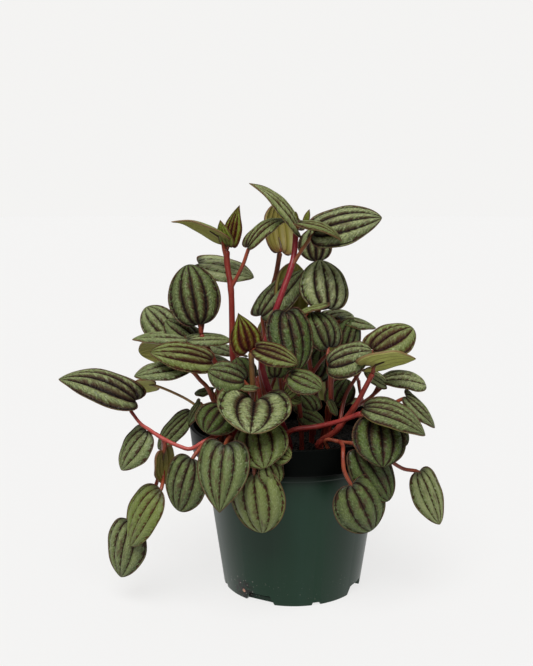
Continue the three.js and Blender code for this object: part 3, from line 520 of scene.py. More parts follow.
# A stem's foot (x, y) and thick, its diameters at foot and top, are in millimetres. skin is its colour
# at foot and top, and rise lists the readings (across, down, near) that it passes through.
STEMS = [
    dict(name="leafy_stem_tall_left", foot=(-30, -6), thick=(3.6, 2.8), skin=("7a1f1c", "7d2a20"), rise=[
        (236, 385, 12), (232.5, 352, 15), (232, 320, 15), (231, 290, 13), (227, 262, 9), (227, 250, 8),
    ], leaves=[
        grow((224, 240), (171, 221.5), (8, 12), 17, 108, 0.95, (0.5, 1, 0.5), bow=0.12, taper=1.3),
        grow((230, 243.5), (239.5, 205), (6, 2), 11, 30, 1, (0.2, 2.8, 1), taper=1.2),
        grow((228, 246), (220, 220), (9, 11), 8, 30, 1, (0.5, 0.3, 1), taper=1),
        grow((247.5, 247.5), (288, 219.5), (12, 4), 14.5, 58, 0.83, (0.6, 1.4, 0.25), by=[(242.5, 266, 12)],
             bow=0.2, lobe=0.2, taper=0.8),
    ]),
    dict(name="leafy_stem_left", foot=(-33, 2), thick=(3, 2.2), skin=("7a241e", "7d3324"), rise=[
        (224, 392, 8), (219, 372, 10), (212, 356, 12), (205, 343, 13), (201, 334, 13),
    ], leaves=[
        grow((199, 324.5), (188, 264.5), (14, 4), 27, 8, 1, (0.2, 1.6, 0), lobe=0.1),
        grow((172, 337), (146, 307), (2, -8), 20, 20, 0.8, (0.5, 1, 0)),
        grow((187, 338.5), (132, 339.5), (10, 13), 20, 74, 0.85, (0.45, 1, 0), taper=0.8),
        grow((188, 339.5), (231, 340), (14, 8), 14, 62, 0.95, (0.5, 0.9, 0)),
        grow((168, 350), (139, 352), (-4, -10), 16, 140, 0.7, (0.3, 1, 0)),
        grow((197, 341), (166, 320), (8, 3), 22, 52, 0.9, (0.3, 1.3, 0)),
        grow((198.5, 263.5), (254, 277.5), (-6, -3), 21, 50, 1, (1, 0.35, 0),
             by=[(203, 318, 6), (199, 290, -4)], taper=0.75),
    ]),
    dict(name="leafy_stem_left_low", foot=(-37, -16), thick=(2.8, 2), skin=("86402c", "9a4c36"), rise=[
        (222, 415, 22), (214, 402, 24), (207, 387, 26), (200, 380, 27), (193, 372, 28), (187, 369, 29),
    ], leaves=[
        grow((187, 365.5), (134, 376.5), (29, 33), 19, 58, 1, (0.45, 1, 0), taper=0.75),
        grow((211, 361), (150, 352.5), (28, 36), 20, 44, 0.5, (0.55, 2, 0.4), by=[(215, 375, 22)],
             taper=0.7),
        grow((213, 389.5), (194.5, 393), (18, 16), 10.5, 70, 0.5, (0.3, 1, 0)),
        grow((191, 412.5), (158, 449), (22, 20), 14, 40, 0.35, (0.3, 1, 0), lobe=0.1),
        grow((200, 402), (188, 425), (27, 25), 9, 60, 0.3, (0.1, 1.2, 0)),
        grow((156, 384.5), (133, 387.5), (20, 12), 9.5, 140, 0.35, (0.5, 1, 0),
             by=[(194, 404, 24), (172, 392, 22)], skin=("a8804e", "b08c5c")),
    ]),
    dict(name="leafy_stem_trailing", foot=(-30, -24), thick=(2.6, 1.6), skin=("a8433c", "b34a42"), rise=[
        (225, 434, 34), (215, 436, 38), (205, 441, 41), (190, 449, 42), (180, 446.5, 41), (160, 437, 39),
        (150, 430, 38), (141, 424, 37), (130, 410, 35),
    ], leaves=[
        grow((135.5, 400.5), (58.5, 379), (36, 30), 26.5, 50, 1, (0.55, 2.2, 0), bow=0.15, taper=0.85),
        grow((146.5, 430.5), (121, 470), (35, 37), 23, 50, 0.76, (0.4, 0.7, 0), lobe=0.15, taper=0.75),
        grow((163, 450.5), (165, 484), (38, 34), 16, 130, 0.74, (0, 1, 0), taper=0.8),
        grow((160.5, 489.5), (130, 545.5), (42, 40), 26.5, 50, 0.745, (0.35, 0.55, 0.35),
             by=[(163, 454, 33), (163.5, 472, 33)], lobe=0.05, droop=0.05, taper=0.7),
        grow((131, 521.5), (120.5, 577), (36, 34), 24.5, 35, 0.735, (0.4, 0.65, 0),
             by=[(162, 462, 31), (150, 500, 32)], lobe=0.1, taper=0.75),
        grow((191.5, 458.5), (178.5, 511), (50, 46), 23.5, 30, 0.42, (0.2, 0.85, 0), lobe=0.15),
        grow((224.5, 445), (219.5, 513), (62, 68), 25.5, 18, 0.2, (0.25, 0.6, 0), taper=1),
        grow((223, 408), (206, 433), (36, 45), 22, 20, 0.15, (0, 1.2, 0)),
    ]),
    dict(name="leafy_stem_front", foot=(-18, -36), thick=(2.8, 2.2), skin=("8a3428", "a0523a"), rise=[
        (250, 438, 44), (252, 425, 48),
    ], leaves=[
        grow((257, 426), (264, 468.5), (53, 66), 27, 10, 1, (0.2, 0.9, 0.2)),
        grow((254, 474), (262, 533), (61, 59), 27, 20, 0.9, (0.42, 0.55, 0.25),
             by=[(251, 442, 53), (252, 452, 58), (254, 466, 61)]),
        grow((275, 452), (291, 458), (58, 61), 12, 30, 0.98, (0.3, 1, 0.3)),
        grow((268, 462), (277, 486), (62, 61), 14, 25, 1, (0.3, 1, 0.3), by=[(262, 446, 58)]),
    ]),
    dict(name="leafy_stem_centre", foot=(-20, -26), thick=(3, 2.6), skin=("6b2a25", "7a5a2e"), rise=[
        (254, 405, 35), (253, 392, 37), (252, 370, 39), (251, 352, 40),
    ], leaves=[
        grow((249.5, 350), (238, 312.5), (41, 36), 16.5, 15, 1, (0.4, 3, 1), taper=1.3),
        grow((256, 348), (298, 364), (42, 44), 16, 45, 1, (0.6, 2.6, 0.5), taper=0.75),
        grow((254.5, 402), (250.5, 433.5), (46, 72), 35, 0, 0.5, (0.68, 1.3, 0), lobe=1.2, droop=-0.03),
        grow((244, 380), (208, 370), (38, 36), 22, 45, 0.7, (0.2, 1.1, 0)),
        grow((244, 384), (236, 358), (28, 22), 18, 30, 0.6, (0, 1, 0)),
        grow((257, 389), (239, 387), (43, 39), 9, 72, 0.5, (0.3, 1, 0)),
    ]),
    dict(name="leafy_stem_back_centre", foot=(-8, 6), thick=(3.2, 2.6), skin=("5a1c1c", "6b3a24"), rise=[
        (262, 380, -2), (262, 350, -4), (266, 315, -8), (270, 296, -10), (276, 275, -13), (280, 252, -14),
    ], leaves=[
        grow((281, 251), (277, 203), (-14, -24), 22, 137, 1, (0, 1.6, 0.3), taper=0.7),
        grow((261, 315.5), (303, 270), (4, -8), 26, 51, 0.45, (0.4, 1.2, 0), by=[(264, 333, 2)]),
        grow((291.5, 312), (293.5, 262), (-2, -8), 22, 150, 0.5, (0.1, 1, 0)),
        grow((275, 377), (277, 351), (2, -6), 16, 20, 0.3, (0, 1.4, 0)),
    ]),
    dict(name="leafy_stem_tall_right", foot=(-2, -12), thick=(3.6, 2.8), skin=("7d1420", "86202a"), rise=[
        (262, 365, 17), (267, 340, 20), (274, 316, 21), (281, 296, 19), (291, 268, 14), (294, 255, 11),
        (296, 232, 8),
    ], leaves=[
        grow((298, 230), (249, 183), (9, 16), 15, 60, 1, (1, 1, 0.25), bow=0.14, taper=1.1),
        grow((314.5, 232), (382, 217.5), (14, 18), 24, 36, 0.86, (0.75, 1.5, 0), by=[(304, 247, 12)],
             taper=0.75, skin=("7a3a22", "8a5a30")),
        grow((299, 224), (342, 241), (16, 24), 13, 70, 1, (0.5, 1.6, 0.3), bow=0.16, taper=1),
        grow((305, 223), (309.5, 209), (2, 2), 3.4, 0, 1, (0.9, 0.2, 1), taper=1),
        grow((296, 226), (295.5, 211.5), (8, 8), 3, 0, 1, (0.1, 1.6, 1)),
        grow((286, 312), (296, 371), (28, 34.5), 24.5, 22, 0.55, (0, 1.4, 0)),
    ]),
    dict(name="leafy_stem_middle_right", foot=(10, -2), thick=(3, 2.2), skin=("6a1c1c", "8a3a2a"), rise=[
        (312, 385, 6), (308, 350, 4), (306, 325, 4), (308, 312, 5),
    ], leaves=[
        grow((328, 309), (320.5, 260), (11, -1), 27, 25, 1, (1, 1.1, 0), lobe=0.15),
        grow((327, 304.5), (290, 318.5), (17, 17), 10, 80, 0.95, (0.4, 1, 0.3), taper=0.8),
        grow((344, 348), (353, 319), (6, 0), 16, 25, 0.6, (0.05, 1.2, 0)),
        grow((341, 319.5), (376, 328), (-2, -8), 16.5, 75, 0.8, (0.6, 1, 0), taper=0.8),
        grow((325, 318), (352, 314), (-8, -16), 18, 60, 0.85, (0.8, 0.8, 0)),
    ]),
    dict(name="leafy_stem_back_right", foot=(12, 18), thick=(3, 2.2), skin=("5a1c1c", "6b3a24"), rise=[
        (318, 360, -18), (319, 320, -22), (318, 290, -24), (316, 265, -24),
    ], leaves=[
        grow((316, 261.5), (314, 228), (-24, -32), 19, 12, 1, (0.45, 2.2, 0), lobe=0),
        grow((314, 378), (321, 348), (-10, -15), 20, 20, 0.4, (0, 1.4, 0)),
    ]),
    dict(name="leafy_stem_right_upright", foot=(14, -16), thick=(3, 2.6), skin=("7a241e", "8a3a2a"), rise=[
        (331, 405, 24), (331, 390, 26), (331, 372, 27),
    ], leaves=[
        grow((329, 364), (372, 351), (31, 35), 27, 52, 1, (0.5, 1.6, 0)),
        grow((329, 347), (312, 312), (19.6, 12.8), 23, 40, 0.95, (0.2, 1.3, 0), bow=0.2),
        grow((334, 404), (347, 379), (16, 8), 17, 30, 0.4, (0, 1.3, 0)),
        grow((330, 400), (337, 416), (30, 32), 10, 70, 0.5, (0, 1.2, 0)),
    ]),
    dict(name="leafy_stem_right", foot=(14, -24), thick=(3.6, 2.4), skin=("8f342a", "9a3a30"), rise=[
        (318, 444, 28), (335, 432, 30), (343, 422, 31), (356, 405, 35), (365, 388, 38), (373, 373, 40),
    ], leaves=[
        grow((371.5, 366), (416, 358.5), (40, 45), 21, 112, 1, (1, 1, 0), bow=0.1, lobe=0.8, droop=0.04,
             taper=0.9),
        grow((380, 380.5), (425, 383), (25, 23), 21, 64, 0.7, (0.8, 1, 0), by=[(373, 395, 24)], bow=0.15,
             lobe=0, taper=0.3),
        grow((373, 349.5), (412, 327), (24, 16), 27, 47, 0.5, (0.55, 2.1, 0.35),
             by=[(345.5, 396, 24), (357, 376, 24)]),
        grow((386, 384.5), (364, 371), (28, 31), 9, 40, 0.7, (0.85, 0.6, 0), by=[(375, 394, 25)]),
    ]),
    dict(name="leafy_stem_right_low", foot=(-4, -32), thick=(3, 2.2), skin=("86261f", "8f2a28"), rise=[
        (288, 433, 36), (320, 426, 37), (340, 421, 39), (362, 413, 43),
    ], leaves=[
        grow((364, 408), (425.5, 435.5), (48, 53), 27, 61, 1, (0.4, 1.4, 0), bow=0.13, lobe=0.15,
             droop=0.06, taper=0.8),
        grow((406, 396.5), (435, 428), (33, 31), 16, 62, 0.98, (0.5, 1, 0), by=[(385, 408, 38)], taper=0.9),
        grow((378, 419), (383, 467), (49, 61), 27, 22, 0.95, (0, 1.6, 0)),
        grow((385, 425), (408, 444), (34, 35), 18, 40, 0.95, (0, 1.2, 0)),
    ]),
    dict(name="leafy_stem_right_hanging", foot=(18, -35), thick=(2.3, 1.7), skin=("7d3a28", "8a4430"), rise=[
        (326, 440, 39), (340, 442, 43), (354, 443.5, 48),
    ], leaves=[
        grow((358, 449), (389.5, 500.5), (51, 51), 22, 24, 1, (0, 0.9, 0)),
        grow((351.5, 485), (372, 530.5), (58, 53), 27, 16, 0.8, (0.12, 0.75, 0),
             by=[(343, 446, 50), (343, 454, 55), (344, 470, 58)]),
        grow((419.5, 471), (440, 524.5), (32, 32), 18.5, 32, 1, (0.75, 0.5, 0.1),
             by=[(372, 449, 47), (391, 461.5, 39), (404, 469, 34)], bow=0.03, lobe=0.15, taper=0.75),
    ]),
    dict(name="leafy_stem_centre_right", foot=(4, -24), thick=(2.6, 2), skin=("7a241e", "8a4030"), rise=[
        (300, 410, 30), (296, 390, 34), (292, 380, 35),
    ], leaves=[
        grow((291, 375), (322, 389), (43, 47), 19, 50, 1, (0.15, 1, 0.1)),
        grow((314, 411), (300, 394), (21, 16), 18, 40, 0.5, (0.05, 1.2, 0)),
        grow((300, 412), (324, 424), (25, 25), 18, 55, 0.5, (0.05, 1.2, 0)),
        grow((286, 396), (299, 385), (38, 36), 9, 50, 0.85, (0.5, 0.8, 0.5)),
        grow((290, 398), (302, 402), (38, 40), 8, 50, 0.75, (0.5, 0.8, 0.5)),
    ]),
]


def seen(reading):
    """The point that lies near millimetres in front of the pot's axis on the eye's ray through a
    reading (across, down, near): eye + k (forward + x right + y up), with x and y over the focal
    length and k set by the depth."""
    across, down, near = reading
    forward = np.array([0, np.cos(EYE_PITCH), -np.sin(EYE_PITCH)])
    upward = np.array([0, np.sin(EYE_PITCH), np.cos(EYE_PITCH)])
    ray = forward + np.array([1, 0, 0]) * (across - PICTURE[0] / 2) / FOCAL_PIXELS
    ray = ray + upward * (PICTURE[1] / 2 - down) / FOCAL_PIXELS
    return EYE + ray * (-near * MM - EYE[1]) / ray[1]


def unit(vector):
    """The vector at length 1."""
    return vector / np.linalg.norm(vector, axis=-1, keepdims=True)


def flowing_line(points):
    """A centripetal Catmull-Rom curve through the points, and its running length. On a span the curve
    is x1 + a u + (3 (x2 - x1) - 2 a - b) u^2 + (2 (x1 - x2) + a + b) u^3, where a and b are the
    spans' slopes weighted by the square roots of the spans' lengths."""
    points = np.asarray(points)
    spread = np.vstack([2 * points[0] - points[1], points, 2 * points[-1] - points[-2]])
    gap = np.sqrt(np.linalg.norm(np.diff(spread, axis=0), axis=1))[:, None]
    x0, x1, x2, x3 = spread[:-3], spread[1:-2], spread[2:-1], spread[3:]
    d0, d1, d2 = gap[:-2], gap[1:-1], gap[2:]
    a = ((x1 - x0) / d0 - (x2 - x0) / (d0 + d1) + (x2 - x1) / d1) * d1
    b = ((x2 - x1) / d1 - (x3 - x1) / (d1 + d2) + (x3 - x2) / d2) * d1
    u = np.linspace(0, 1, CURVE_STEPS, endpoint=False)[:, None, None]
    curve = x1 + a * u + (3 * (x2 - x1) - 2 * a - b) * u ** 2 + (2 * (x1 - x2) + a + b) * u ** 3
    line = np.vstack([curve.transpose(1, 0, 2).reshape(-1, 3), points[-1:]])
    run = np.concatenate([[0], np.cumsum(np.linalg.norm(np.diff(line, axis=0), axis=1))])
    return line, run


def along_line(line, run, distance):
    """The points of a line at those distances from its start."""
    return np.stack([np.interp(distance, run, line[:, axis]) for axis in range(3)], axis=-1)


def tube(points, radius_at, hues, hue_stops=(0, 1)):
    """A closed round tube along a flowing line, with its points' colours, which pass from one hue to
    the next at the stops, from 0 to 1 along it. Its rings are centre + radius (cos a side + sin a
    other), where side is a fixed direction less its part along the line; the radius is radius_at of
    the distance, times sqrt(1 - (1 - d/r)^2) within r of an end."""
    line, run = flowing_line(points)
    full = run[-1]
    r = min(radius_at(0.0), radius_at(full), END_SHARE * full)
    inner = np.linspace(r, full - r, max(FEWEST_RINGS, int(full / TUBE_STEP)))
    distance = np.concatenate([END_STOPS * r, inner, full - END_STOPS[::-1] * r])
    to_end = np.minimum(np.minimum(distance, full - distance) / r, 1)
    radius = radius_at(distance) * np.sqrt(1 - (1 - to_end) ** 2)
    centre = along_line(line, run, distance)
    heading = unit(np.gradient(centre, axis=0))
    fixed = np.linalg.svd(heading, full_matrices=True)[2][2]
    side = unit(fixed - (heading @ fixed)[:, None] * heading)
    other = np.cross(heading, side)
    angle = np.linspace(0, 2 * np.pi, TUBE_SIDES, endpoint=False)[None, :, None]
    round_it = np.cos(angle) * side[:, None] + np.sin(angle) * other[:, None]
    rings = centre[:, None] + radius[:, None, None] * round_it
    points = np.vstack([line[:1], line[-1:], rings.reshape(-1, 3)])
    triangles = lantern(2 + np.arange(len(centre) * TUBE_SIDES).reshape(-1, TUBE_SIDES).T)
    share = np.concatenate([[0, 1], np.repeat(distance / full, TUBE_SIDES)])
    colours = [np.interp(share, hue_stops, channel) for channel in zip(*map(hue, hues))]
    return points, triangles, np.stack(colours, axis=1)


def leaf_frame(base, tip, viewer, turn):
    """A leaf's directions along it and out of its upper face: the face looks at the viewer, square to
    the leaf, and is then turned about the leaf, upwards and away from the pot, by turn degrees."""
    along = unit(tip - base)
    facing = unit(viewer - (viewer @ along) * along)
    side = np.cross(along, facing)
    skyward = np.append(OUTWARD_LEAN * unit(base[:2]), 1)
    side = -side if side @ skyward < 0 else side
    angle = np.radians(turn)
    return along, facing * np.cos(angle) + side * np.sin(angle)


def blade(leaf):
    """One leaf blade over t along it and s across it, both faces sharing the rim. At t it has the share
    h = sqrt(t / widest) ((1 - t) / (1 - widest))^taper of its full width. A point lies length (t - lobe
    h |s|^1.4 (1 - t)^4) along, wide h s / 2 across, and out of the face 4 bow length t (1 - t) - droop
    wide h^2 s^2 + ridge h |sin(pi s / vein step)| + wave h |s|^3 sin(2 pi waves t + phase + 2 sign(s)).
    The lower face is thick sqrt((1 - s^6) (1 - |2t - 1|^12)) below. Each point keeps s, t, the leaf's
    number and, in millimetres, its distance from the margin."""
    wide, length = leaf["wide"] * MM, np.linalg.norm(leaf["tip"] - leaf["base"])
    steps = RIDGE_STEPS if leaf["wide"] > SMALL_LEAF else SMALL_RIDGE_STEPS
    veins = np.arange(-int(steps / VEIN_STEP), int(steps / VEIN_STEP) + 1) * VEIN_STEP / steps
    s = np.concatenate([[-1], veins[np.abs(veins) < RIM_CLEAR], [1]])
    t = 0.5 - 0.5 * np.cos(np.pi * np.linspace(0, 1, LEAF_ROWS))
    t, s = t[:, None], s[None, :]
    widest = 0.5 / (0.5 + leaf["taper"])
    half = np.sqrt(t / widest) * ((1 - t) / (1 - widest)) ** leaf["taper"]
    y = length * (t - leaf["lobe"] * half * np.abs(s) ** LOBE_CURVE * (1 - t) ** LOBE_REACH)
    wave = np.sin(2 * np.pi * MARGIN_WAVES * t + leaf["phase"] + 2 * np.sign(s)) * np.abs(s) ** 3
    lift = 4 * leaf["bow"] * length * t * (1 - t) - leaf["droop"] * wide * half ** 2 * s ** 2
    lift = lift + RIDGE * leaf["wide"] / FULL_WIDTH * half * np.abs(np.sin(np.pi * s / VEIN_STEP))
    lift = lift + MARGIN_WAVE * half * wave
    across = np.cross(leaf["along"], leaf["normal"])
    upper = leaf["base"] + y[..., None] * leaf["along"] + (0.5 * wide * half * s)[..., None] * across
    upper = upper + lift[..., None] * leaf["normal"]
    thick = LEAF_THICK * np.sqrt((1 - s ** 6) * (1 - np.abs(2 * t - 1) ** 12))
    lower = upper - thick[..., None] * leaf["normal"]
    rows, columns = half.shape[0], s.shape[1]
    points = np.vstack([upper[0, :1], upper[-1, :1], upper[1:-1].reshape(-1, 3),
                        lower[1:-1, 1:-1].reshape(-1, 3)])
    top = np.zeros((rows, columns), dtype=int)
    top[-1] = 1
    top[1:-1] = 2 + np.arange((rows - 2) * columns).reshape(rows - 2, columns)
    under = top.copy()
    under[1:-1, 1:-1] = top.max() + 1 + np.arange((rows - 2) * (columns - 2)).reshape(rows - 2, columns - 2)
    faces = []
    for grid, order in ((top, (0, 1, 2)), (under, (0, 2, 1))):
        face = cells(grid[:-1, :-1], grid[:-1, 1:], grid[1:, 1:], grid[1:, :-1])
        whole = (face != np.roll(face, 1, axis=1)).all(axis=1)
        faces.append(face[whole][:, order])
    spot = np.zeros((len(points), 4))
    for grid in (under, top):
        for k, value in enumerate((s, t, leaf["number"], leaf["wide"] / 2 * half * (1 - np.abs(s)))):
            spot[grid, k] = np.broadcast_to(value, grid.shape)
    spot[:2, 0] = 0
    return points, faces[0], faces[1], spot


def stalk(line, run, leaf):
    """A leaf's stalk: a tube from the stem to just under the blade's stalk end, which goes on below the
    blade as its midrib and thins out there. Where no reading gives its way, its middle lies above the
    straight line by the arch and below the leaf by the belly, both as shares of its length."""
    root = along_line(line, run, leaf["start"] * run[-1])
    seat = leaf["base"] + STALK_INSET * leaf["along"] - 0.5 * LEAF_THICK * leaf["normal"]
    gap = np.linalg.norm(seat - root)
    bend = np.array([0, 0, STALK_ARCH]) - STALK_BELLY * leaf["normal"]
    way = leaf["by"] or [0.5 * (root + seat) + gap * bend]
    length = np.linalg.norm(leaf["tip"] - leaf["base"])
    rise = 4 * leaf["bow"] * length * MIDRIB_REACH * (1 - MIDRIB_REACH) - LEAF_THICK
    rib_end = leaf["base"] + MIDRIB_REACH * length * leaf["along"] + rise * leaf["normal"]
    radius = STALK_RADIUS * (FINE_STALK if leaf["wide"] < BUD_WIDTH else 1)
    to_seat = flowing_line([root, *way, seat])[1][-1]
    last = to_seat + MIDRIB_REACH * length

    def radius_at(distance):
        stops = [0, STALK_SLIMS * to_seat, to_seat - STALK_INSET, to_seat + STALK_INSET, last]
        return radius * np.interp(distance, stops, [STALK_ROOT, 1, 1, MIDRIB_START, MIDRIB_END])

    hue_stops = (0, (to_seat - STALK_INSET) / last, (to_seat + STALK_INSET) / last, 1)
    return tube([root, *way, seat, rib_end], radius_at, (*leaf["skin"], MIDRIB_SKIN, MIDRIB_SKIN), hue_stops)


def joined(parts):
    """Many parts' arrays as one part: points and per-point values stacked, triangles renumbered."""
    counts = np.cumsum([0] + [len(part[0]) for part in parts])
    triangles = np.vstack([part[1] + start for part, start in zip(parts, counts)])
    return np.vstack([part[0] for part in parts]), triangles, np.vstack([part[2] for part in parts])


def point_values(piece, name, kind, field, values):
    """Values kept on each point of a piece, for its materials to read."""
    attribute = piece.data.attributes.new(name, kind, "POINT")
    attribute.data.foreach_set(field, np.asarray(values, dtype=np.float32).ravel())


def leafy_stem(name, points, thick, skin, leaves):
    """A stem and its leaves as two pieces, one of stem and stalks and one of blades, which both stand
    for the CAD node of that name."""
    line, run = flowing_line(points)
    nodes = np.array([leaf["start"] for leaf in leaves]) * run[-1]

    def radius_at(distance):
        swell = np.exp(-((np.asarray(distance)[..., None] - nodes) / NODE_LENGTH) ** 2).max(axis=-1)
        return 0.5 * MM * np.interp(distance, [0, run[-1]], thick) * (1 + NODE_SWELL * swell)

    stem_part = joined([tube(points, radius_at, skin)] + [stalk(line, run, leaf) for leaf in leaves])
    stem = solid_piece(name + "_stem", stem_part[0], stem_part[1], [stem_paint])
    point_values(stem, "hue", "FLOAT_COLOR", "color", stem_part[2])

    blades = [blade(leaf) for leaf in leaves]
    looks = [np.broadcast_to(leaf["look"], (len(part[0]), 3)) for leaf, part in zip(leaves, blades)]
    tops = joined([(part[0], part[1], part[3]) for part in blades])
    unders = joined([(part[0], part[2], part[3]) for part in blades])
    both_sides = np.vstack([tops[1], unders[1]])
    foliage = solid_piece(name + "_leaves", tops[0], both_sides, [leaf_paint, back_paint])
    face_side = np.repeat([0, 1], [len(tops[1]), len(unders[1])]).astype(np.int32)
    foliage.data.polygons.foreach_set("material_index", face_side)
    point_values(foliage, "blade", "FLOAT_VECTOR", "vector", tops[2][:, :3])
    point_values(foliage, "rim", "FLOAT", "value", tops[2][:, 3])
    point_values(foliage, "look", "FLOAT_VECTOR", "vector", np.vstack(looks))
    for piece, slot in ((stem, "stem"), (foliage, "leaf")):
        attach(piece, "root")
        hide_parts(name)


def placed_leaf(leaf, base, tip, viewer, number):
    """A leaf's listed values with its place, its directions and the shape values it doesn't give."""
    along, normal = leaf_frame(base, tip, viewer, leaf.get("turn", 0))
    usual = dict(bow=BOW, lobe=LOBE, droop=DROOP, taper=TAPER, skin=STALK_SKIN)
    by = [seen(reading) for reading in leaf.get("by", [])]
    place = dict(base=base, tip=tip, along=along, normal=normal, by=by, number=number)
    return {**usual, **leaf, **place, "phase": WAVE_SHIFT * number}


def stem_line(foot, rise):
    """A stem's points: straight up through the soil from its foot (x, y), then the given ones."""
    heights = SOIL_TOP + np.array([-ROOT_DEPTH, -0.5 * ROOT_DEPTH, STEM_CLEAR])
    return np.vstack([np.column_stack([np.tile(foot, (3, 1)), heights]), rise])


def attribute(tree, name, output="Vector"):
    """What a piece keeps on its points under that name."""
    return add_node(tree, "ShaderNodeAttribute", attribute_name=name).outputs[output]


def split(vector):
    """The three numbers of a vector."""
    return add_node(vector.id_data, "ShaderNodeSeparateXYZ", {0: vector}).outputs


def triple(*values):
    """A vector of three numbers."""
    return add_node(values[0].id_data, "ShaderNodeCombineXYZ", dict(enumerate(values))).outputs[0]


def jittered(value, noise, share):
    """The value plus that share of how far the noise lies from a half."""
    return calc("MULTIPLY_ADD", calc("SUBTRACT", noise, 0.5), share, value)


def vein_distance(s):
    """How far s is from the nearest vein: 2 |frac(s / step + 1/2) - 1/2|, 0 on a vein and 1 midway.
    Twenty whole steps more keep the sum positive."""
    phase = calc("FRACT", calc("MULTIPLY_ADD", s, 1 / VEIN_STEP, 20.5))
    return calc("MULTIPLY", calc("ABSOLUTE", calc("SUBTRACT", phase, 0.5)), 2)


leaf_paint, leaf_shader = paint("leaf_upper")
tree = leaf_paint.node_tree
s, t, number = split(attribute(tree, "blade"))
pale, bands, young = split(attribute(tree, "look"))
vein = vein_distance(s)
edge = calc("ABSOLUTE", s)
shift = calc("MULTIPLY", number, PATTERN_SHIFT)
where = triple(s, t, shift)
swept = triple(s, calc("MULTIPLY_ADD", vein, -0.07, t), shift)
quilt = cloud(swept, (3, 18, 1))
flecks = cloud(where, (34, 26, 1), detail=4.0)
patches = cloud(where, (1.8, 2.6, 1))
blots = cloud(where, (7, 7, 2), detail=2.0)
from_crease = calc("ABSOLUTE", calc("SUBTRACT", quilt, 0.5))
crease_shade = ramp(from_crease, 0.05, 0.0)
reach = jittered(jittered(vein, quilt, -1.3), flecks, 0.3)
band = calc("MULTIPLY", ramp(t, 0.0, 1.0, 0.55, 0.22), bands)
band = calc("MULTIPLY", ramp(edge, 0.3, 0.9, 1, 0.45), band)
halo = ramp(calc("DIVIDE", reach, band), 1.3, 0.2)
core = ramp(calc("DIVIDE", jittered(vein, flecks, 0.15), band), 0.5, 0.1)
blush = calc("MULTIPLY", ramp(blots, 0.5, 0.68), ramp(edge, 0.8, 0.1, 0, 0.65))
# Painted light on the pads between the veins: the green darkens as painted shade towards the sunken veins
# and lightens as a painted highlight on each pad's crest. pale is the leaf's tone, partly its own and partly
# painted shade on leaves in the plant's shaded middle.
shaded_pad = mix(pale, hue("243410"), hue("6f7d42"))
light = mix(pale, hue("475a20"), hue("aab17a"))
green = mix(ramp(vein, 0.1, 0.75), shaded_pad, light)
green = tinted(green, hue("5f6b33"), patches, 0.3, 0.7, 0.35)
# Pale silvery flecks, partly the leaf's own silver film and partly a painted sheen.
silver_and_sheen = mix(pale, hue("a8b280"), hue("bcc0a6"))
silver_and_sheen_share = calc("MULTIPLY_ADD", pale, 0.4, 0.24)
green = tinted(green, silver_and_sheen, flecks, 0.48, 0.7, silver_and_sheen_share)
quilting = ramp(bands, 0.5, 1.3, 0.3, 0.7)
# Painted shade: thin dark lines where the sunken cross-veins crease the pads.
green = mix(calc("MULTIPLY", crease_shade, quilting), green, hue("2a3317"))
green = mix(young, green, hue("74802a"))
dusk = mix(young, hue("40261f"), hue("54200f"))
dark = mix(young, hue("140a08"), hue("350b0a"))
colour = mix(blush, green, hue("4d3024"))
colour = mix(calc("MULTIPLY", halo, 0.9), colour, dusk)
colour = mix(core, colour, dark)
colour = tinted(colour, dark, t, 0.17, 0.0, 0.85)
colour = tinted(colour, hue("5a3424"), attribute(tree, "rim", "Fac"), 0.8, 0.25, 0.85)
fine = bumps(flecks, 0.25, 0.3 * MM)
pillow = ramp(from_crease, 0.0, 0.16)
wire(leaf_shader, Base_Color=colour, Roughness=ramp(flecks, 0.3, 0.75, 0.34, 0.5),
     Specular_IOR_Level=ramp(halo, 0.0, 0.8, 0.3, 0.1),
     Normal=bumps(pillow, quilting, 0.6 * MM, Normal=fine))

back_paint, back_shader = paint("leaf_underside", Specular_IOR_Level=0.35)
tree = back_paint.node_tree
s, t, number = split(attribute(tree, "blade"))
pale = split(attribute(tree, "look"))[0]
where = triple(s, t, calc("MULTIPLY", number, PATTERN_SHIFT))
flecks = cloud(where, (40, 30, 1), detail=4.0)
patches = cloud(where, (2, 2.5, 1))
distance = jittered(vein_distance(s), flecks, 0.15)
rib = calc("SUBTRACT", 1, ramp(distance, 0.04, 0.2))
# The underside's olive grows paler with the leaf's pale look: partly its own tone and partly painted light
# that shines through the blade from above.
olive_and_backlight = mix(pale, hue("74681f"), hue("dde27a"))
olive_and_backlight = tinted(olive_and_backlight, hue("8b8d42"), patches, 0.3, 0.7, 0.35)
olive_and_backlight = tinted(olive_and_backlight, hue("5c4a2c"), flecks, 0.4, 0.75, 0.25)
colour = mix(calc("MULTIPLY", rib, 0.55), olive_and_backlight, hue("9a8a52"))
colour = tinted(colour, hue("70402e"), t, 0.2, 0.0, 0.6)
colour = tinted(colour, hue("6b4430"), attribute(tree, "rim", "Fac"), 0.9, 0.3, 0.85)
wire(back_shader, Base_Color=colour, Roughness=ramp(flecks, 0.3, 0.75, 0.45, 0.6),
     Normal=bumps(flecks, 0.3, 0.4 * MM))

